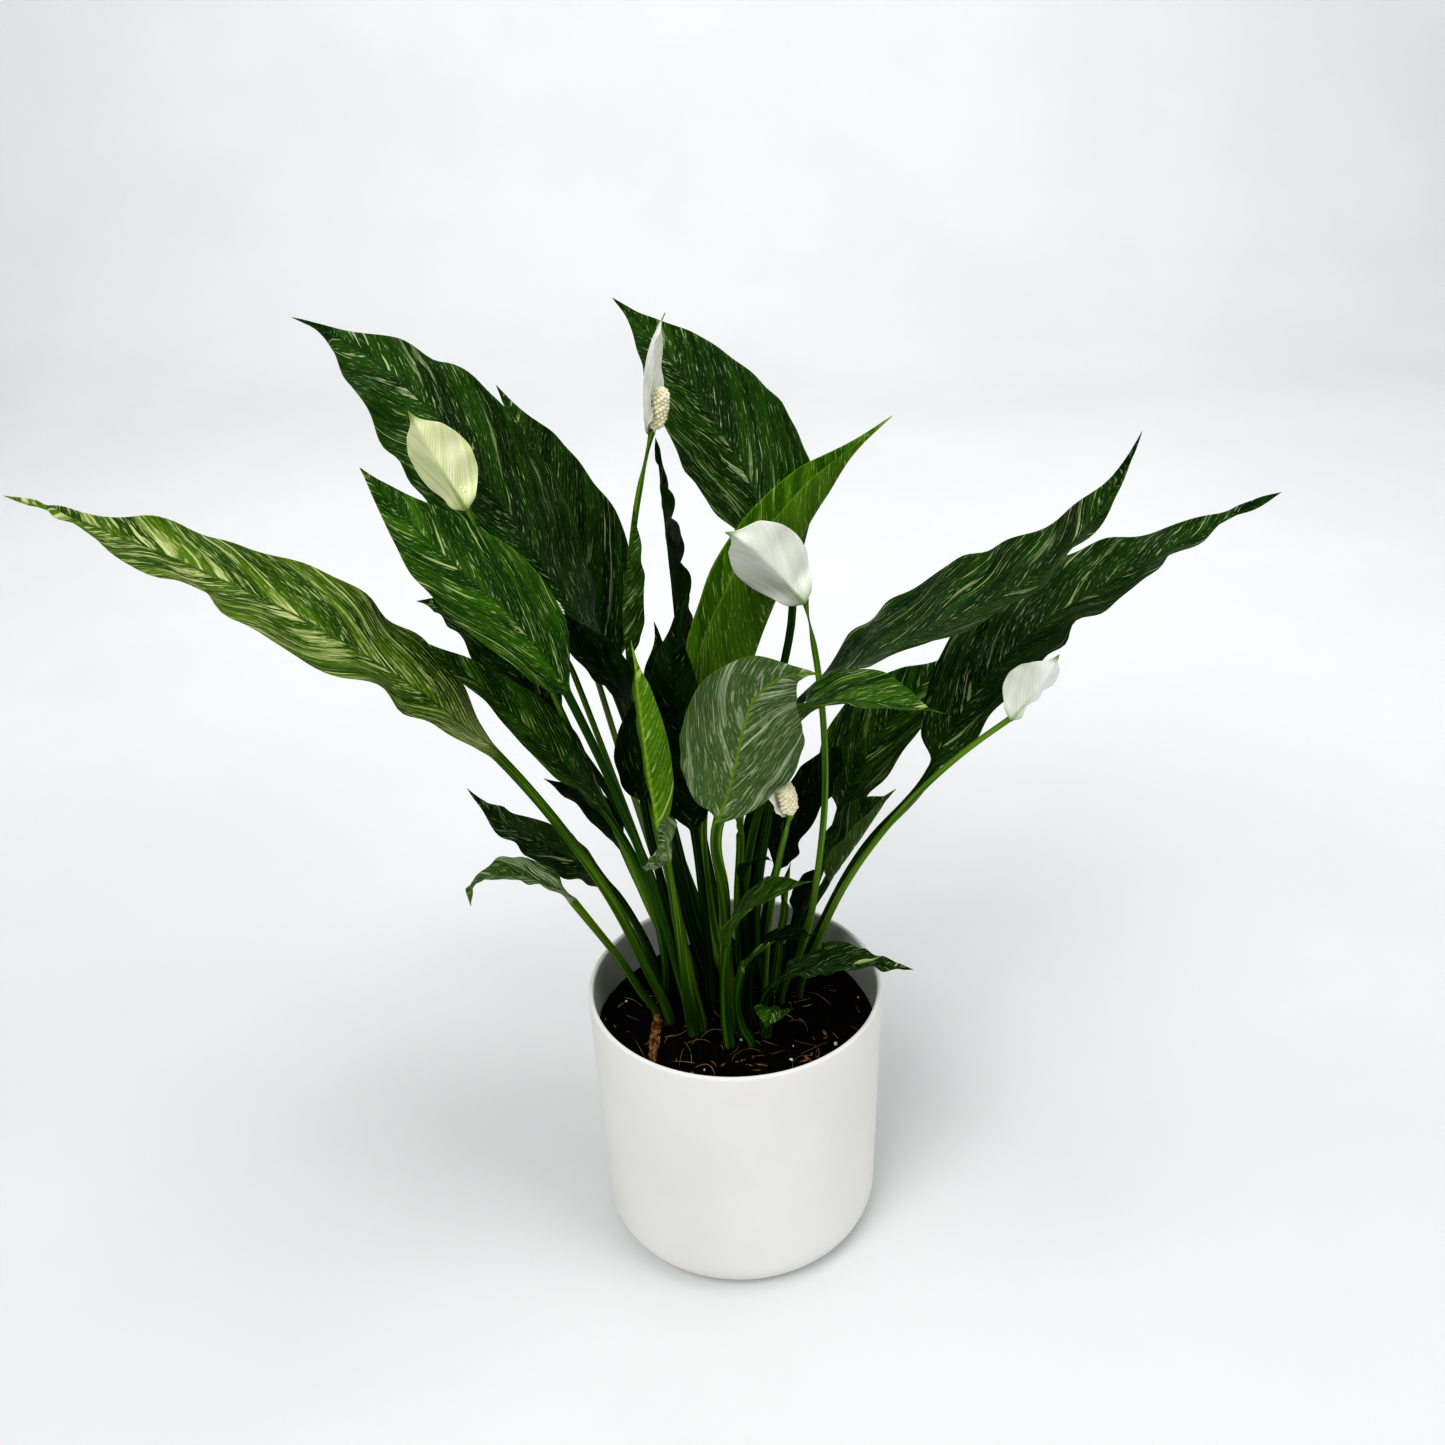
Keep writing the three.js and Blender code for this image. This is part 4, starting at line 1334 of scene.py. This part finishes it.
@dataclass
class SoilBed:
    """Crumbly potting soil with fibres, perlite and small bark, filling the pot.

    The top is a disc of rings whose height is a sum of sines of several directions and
    sizes; crumbs, fibres and perlite are scattered on it with fixed seeds.
    """

    maker: PieceMaker
    radius: float = 0.0713
    top: float = 0.1216
    bottom: float = 0.024
    rings: int = 90
    segments: int = 220
    swells: int = 14
    crumbs: int = 2600
    fibres: int = 90
    perlite: int = 26
    chips: int = 46

    def height_at(self, x: Array, y: Array) -> Array:
        """Height of the soil over a place."""
        rng = np.random.default_rng(7)
        angles = rng.uniform(0.0, math.pi, self.swells)
        sizes = rng.uniform(90.0, 900.0, self.swells)
        phases = rng.uniform(0.0, 2.0 * math.pi, self.swells)
        total = np.zeros_like(x)
        for angle, size, phase in zip(angles, sizes, phases):
            way = x * math.cos(angle) + y * math.sin(angle)
            total = total + 0.05 / size * np.sin(size * way + phase)
        rim = smooth_step((np.hypot(x, y) / self.radius - 0.6) / 0.4)
        return self.top + total - 0.0012 * rim

    def build(self) -> None:
        """Builds the bed, then what lies on it."""
        rings = (np.linspace(0.02, 1.0, self.rings)[::-1] * self.radius)[:, None]
        around = circle(self.segments)
        x = rings * np.cos(around)
        y = rings * np.sin(around)
        surface = fan(x, y, self.height_at(x, y))
        skirt = surface[:1].copy()
        skirt[..., :2] *= 0.985
        skirt[..., 2] = self.bottom
        shape = Shape.from_rings(np.concatenate([skirt, surface]))
        self.maker.make_for("soil", shape, SOIL_DARK.build(self.maker.shelf), "soil")
        self._crumbs("soil_crumbs", self.crumbs, (0.0004, 0.0016), CRUMB_BROWN, 11)
        self._crumbs("soil_perlite", self.perlite, (0.0005, 0.0012), PERLITE_WHITE, 12)
        self._chips()
        self._fibres()
        LOG.info("soil: bed, %d crumbs, %d fibres", self.crumbs, self.fibres)

    def _places(self, rng: np.random.Generator, count: int, inset: float) -> Array:
        """Random places on the soil, no nearer to the wall than the inset."""
        distance = (self.radius - inset) * np.sqrt(rng.uniform(0.0, 1.0, count))
        angle = rng.uniform(0.0, 2.0 * math.pi, count)
        x = distance * np.cos(angle)
        y = distance * np.sin(angle)
        return fan(x, y, self.height_at(x, y))

    def _crumbs(
        self, name: str, count: int, sizes: tuple[float, float], finish: GrainFinish, seed: int
    ) -> None:
        """Scatters uneven lumps, half sunk, each turned at random and scaled by axis."""
        rng = np.random.default_rng(seed)
        lump = Shape.ball(3, 6)
        round_x, round_y = lump.points[:, :1], lump.points[:, 1:2]
        lump.points = lump.points * (1.0 + 0.22 * np.sin(5.0 * round_x + 3.0 * round_y))
        low, high = sizes
        size = low + (high - low) * rng.uniform(0.0, 1.0, (count, 1)) ** 2.2
        scale = size * rng.uniform(0.6, 1.3, (count, 3))
        turns, _ = np.linalg.qr(rng.normal(size=(count, 3, 3)))
        places = self._places(rng, count, 0.002)
        places[:, 2] += 0.25 * size[:, 0]
        many = lump.copies(turns * scale[:, None, :], places)
        self.maker.make(name, many, finish.build(self.maker.shelf), "soil")

    def _chips(self) -> None:
        """Scatters flat slivers of bark: a ball squeezed to a splinter."""
        rng = np.random.default_rng(21)
        ranges = ((0.0015, 0.0045), (0.0005, 0.0011), (0.0002, 0.0005))
        size = np.stack([rng.uniform(low, high, self.chips) for low, high in ranges], axis=1)
        heading = rng.uniform(0.0, 2.0 * math.pi, self.chips)
        dip = rng.uniform(-0.3, 0.3, self.chips)
        along = fan(np.cos(heading) * np.cos(dip), np.sin(heading) * np.cos(dip), np.sin(dip))
        side = fan(-np.sin(heading), np.cos(heading), 0.0)
        frames = np.stack([along, side, np.cross(along, side)], axis=2) * size[:, None, :]
        places = self._places(rng, self.chips, 0.006)
        places[:, 2] += 0.0009
        chips = Shape.ball(3, 6).copies(frames, places)
        self.maker.make("soil_bark_bits", chips, BARK_BROWN.build(self.maker.shelf), "bark")

    def _fibres(self) -> None:
        """Scatters root fibres: thin tubes along gently curling lines on the soil."""
        rng = np.random.default_rng(31)
        count, steps, sides = self.fibres, 12, 5
        length = rng.uniform(0.005, 0.02, count)
        heading = rng.uniform(0.0, 2.0 * math.pi, count)
        curl = rng.uniform(-130.0, 130.0, count)
        way = (np.arange(steps) / (steps - 1.0) - 0.5)[None] * length[:, None]
        turned = heading[:, None] + curl[:, None] * way
        start = self._places(rng, count, 0.014)
        stride = (length / (steps - 1.0))[:, None]
        x = start[:, :1] + np.cumsum(np.cos(turned) * stride, axis=1)
        y = start[:, 1:2] + np.cumsum(np.sin(turned) * stride, axis=1)
        share = np.arange(steps) / (steps - 1.0)
        arch = rng.uniform(0.0, 0.0022, (count, 1)) * np.sin(math.pi * share)
        line = fan(x, y, self.height_at(x, y) + 0.0005 + arch)
        side = fan(-np.sin(turned), np.cos(turned), 0.0)
        thin = rng.uniform(0.00012, 0.00028, (count, 1, 1, 1))
        taper = (1.0 - 0.6 * np.abs(np.linspace(-1.0, 1.0, steps)) ** 3)[None, :, None, None]
        angles = circle(sides)[:, None]
        ring = np.cos(angles) * side[:, :, None] + np.sin(angles) * np.array([0.0, 0.0, 1.0])
        points = line[:, :, None] + ring * thin * taper
        every = np.concatenate([points.reshape(count, -1, 3), line[:, [0, -1]]], axis=1)
        tubes = Shape.from_rings(points[0]).repeated(every)
        self.maker.make("soil_fibres", tubes, FIBRE_TAN.build(self.maker.shelf), "bark")


@dataclass
class BarkSplinter:
    """Splinter of bark propped on the soil: a frayed, ridged stick through its CAD box.

    Rings along the long diagonal of the box, their radius a sum of lengthwise ridges and
    random steps, flattened across.
    """

    maker: PieceMaker
    rows: int = 40
    columns: int = 18

    def build(self) -> None:
        """Builds the splinter where its CAD node lies."""
        corners = vertices_of("bark_chip")
        centre = corners.mean(axis=0)
        _, _, axes = np.linalg.svd(corners - centre, full_matrices=False)
        reach = (corners - centre) @ axes.T
        low, high = reach.min(axis=0), reach.max(axis=0)
        share = np.linspace(0.0, 1.0, self.rows)
        rng = np.random.default_rng(51)
        steps = np.cumsum(rng.normal(0.0, 0.08, self.rows))
        steps -= np.linspace(0.0, steps[-1], self.rows)
        girth = 0.8 * np.clip(np.sin(math.pi * share) ** 0.2 + steps, 0.1, 1.2)
        angles = circle(self.columns)
        ridges = 1.0 + 0.3 * np.sin(4.0 * angles + 1.0) + 0.16 * np.sin(7.0 * angles)
        radius = girth[:, None] * ridges[None] * 0.5
        wide = radius * (high[1] - low[1]) * np.cos(angles)
        deep = radius * (high[2] - low[2]) * np.sin(angles)
        along = low[0] + share * (high[0] - low[0])
        points = (
            centre
            + along[:, None, None] * axes[0]
            + wide[..., None] * axes[1]
            + deep[..., None] * np.cross(axes[0], axes[1])
        )
        bark = BARK_BROWN.build(self.maker.shelf)
        self.maker.make_for("bark_chip", Shape.from_rings(points), bark, "bark")


# ---------------------------------------------------------------------------
# Studio
# ---------------------------------------------------------------------------


@dataclass
class Studio:
    """Pale seamless floor and wall, soft lights and the camera.

    The sweep is a floor that turns up into a wall by a quarter circle, so far behind the
    plant that it leaves room to walk round it.
    """

    shelf: GroupShelf
    wall_distance: float = 2.6
    bend: float = 0.9
    half_width: float = 3.0
    front: float = -3.0
    wall_top: float = 3.0
    world_strength: float = 0.24
    eye: Place = (-0.002, -0.600, 0.603)
    pitch_degrees: float = 27.2
    tilt_degrees: float = -1.9
    lens: float = 36.12
    sensor: float = 36.0

    def build(self) -> None:
        """Adds the sweep, the lights, the world and the camera."""
        self._sweep()
        self._area("key", (-0.9, -1.6, 2.2), 1.3, 26.5)
        self._area("fill", (1.9, -1.0, 1.5), 1.5, 12.0)
        self._area("top", (0.2, 0.0, 2.4), 1.4, 12.5)
        self._area("backdrop", (0.0, 0.7, 2.2), 2.4, 22.0, aim=(0.0, 2.7, 1.6))
        world = bpy.data.worlds.new("studio_world")
        world.use_nodes = True
        background = world.node_tree.nodes["Background"]
        background.inputs["Color"].default_value = (1.0, 1.0, 1.0, 1.0)
        background.inputs["Strength"].default_value = self.world_strength
        scene = bpy.context.scene
        scene.world = world
        scene.view_settings.view_transform = "Standard"
        scene.view_settings.look = "High Contrast"
        self._camera()
        LOG.info("studio: sweep, four soft lights and camera")

    def _sweep(self) -> None:
        """The floor and wall as one smooth sheet."""
        quarter = np.linspace(0.0, math.pi / 2.0, 24)
        start = self.wall_distance - self.bend
        floor = fan(np.linspace(self.front, start, 40), 0.0)
        curve = fan(start + self.bend * np.sin(quarter), self.bend * (1.0 - np.cos(quarter)))
        wall = fan(self.wall_distance, np.linspace(self.bend, self.wall_top, 20))
        line = np.concatenate([floor, curve[1:], wall[1:]])
        x = np.linspace(-self.half_width, self.half_width, 30)
        corner = np.arange(len(line) - 1)[:, None] * len(x) + np.arange(len(x) - 1)
        quads = fan(corner, corner + 1, corner + len(x) + 1, corner + len(x))
        points = fan(x, line[:, :1], line[:, 1:])
        mesh = bpy.data.meshes.new("sweep")
        mesh.from_pydata(points.reshape(-1, 3).tolist(), [], quads.reshape(-1, 4).tolist())
        mesh.polygons.foreach_set("use_smooth", np.full(len(mesh.polygons), True))
        mesh.materials.append(PAPER_PALE.build(self.shelf))
        sweep = bpy.data.objects.new("sweep", mesh)
        bpy.context.scene.collection.objects.link(sweep)

    @staticmethod
    def _place(name: str, data: bpy.types.ID, axes: list[Array], place: Place) -> bpy.types.Object:
        """Stands a lamp or camera at a place, with its right, up and backward axes."""
        turn = np.eye(4)
        turn[:3, 0], turn[:3, 1], turn[:3, 2], turn[:3, 3] = (*axes, place)
        item = bpy.data.objects.new(name, data)
        item.matrix_world = Matrix(turn.tolist())
        bpy.context.scene.collection.objects.link(item)
        return item

    @classmethod
    def _area(
        cls, name: str, place: Place, size: float, power: float, aim: Place = (0.0, 0.0, 0.25)
    ) -> None:
        """A square soft white light that faces a point: the plant's middle, unless given."""
        light = bpy.data.lights.new(name, "AREA")
        light.size = size
        light.energy = power
        away = unit(np.array(place) - np.array(aim))
        side = unit(np.cross([0.0, 0.0, 1.0], away))
        lamp = cls._place(name, light, [side, np.cross(away, side), away], place)
        lamp.visible_camera = False

    def _camera(self) -> None:
        """Camera above the front of the plant, looking down at it, slightly tilted."""
        pitch = math.radians(self.pitch_degrees)
        tilt = math.radians(self.tilt_degrees)
        level = np.array([1.0, 0.0, 0.0])
        rising = np.array([0.0, math.sin(pitch), math.cos(pitch)])
        ahead = np.array([0.0, math.cos(pitch), -math.sin(pitch)])
        right = math.cos(tilt) * level + math.sin(tilt) * rising
        up = -math.sin(tilt) * level + math.cos(tilt) * rising
        camera = bpy.data.cameras.new("camera")
        camera.sensor_width = self.sensor
        camera.lens = self.lens
        camera.clip_end = 50.0
        axes = [right, up, -ahead]
        bpy.context.scene.camera = self._place("camera", camera, axes, self.eye)


def main() -> None:
    """Builds every sub-assembly in order."""
    logging.basicConfig(level=logging.INFO, format="%(name)s: %(message)s")
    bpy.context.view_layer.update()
    maker = PieceMaker(GroupShelf())
    for sub_assembly in (CoverPot, SoilBed, BarkSplinter, Foliage, Blossoms):
        sub_assembly(maker).build()
    Studio(maker.shelf).build()


if __name__ == "__main__":
    main()
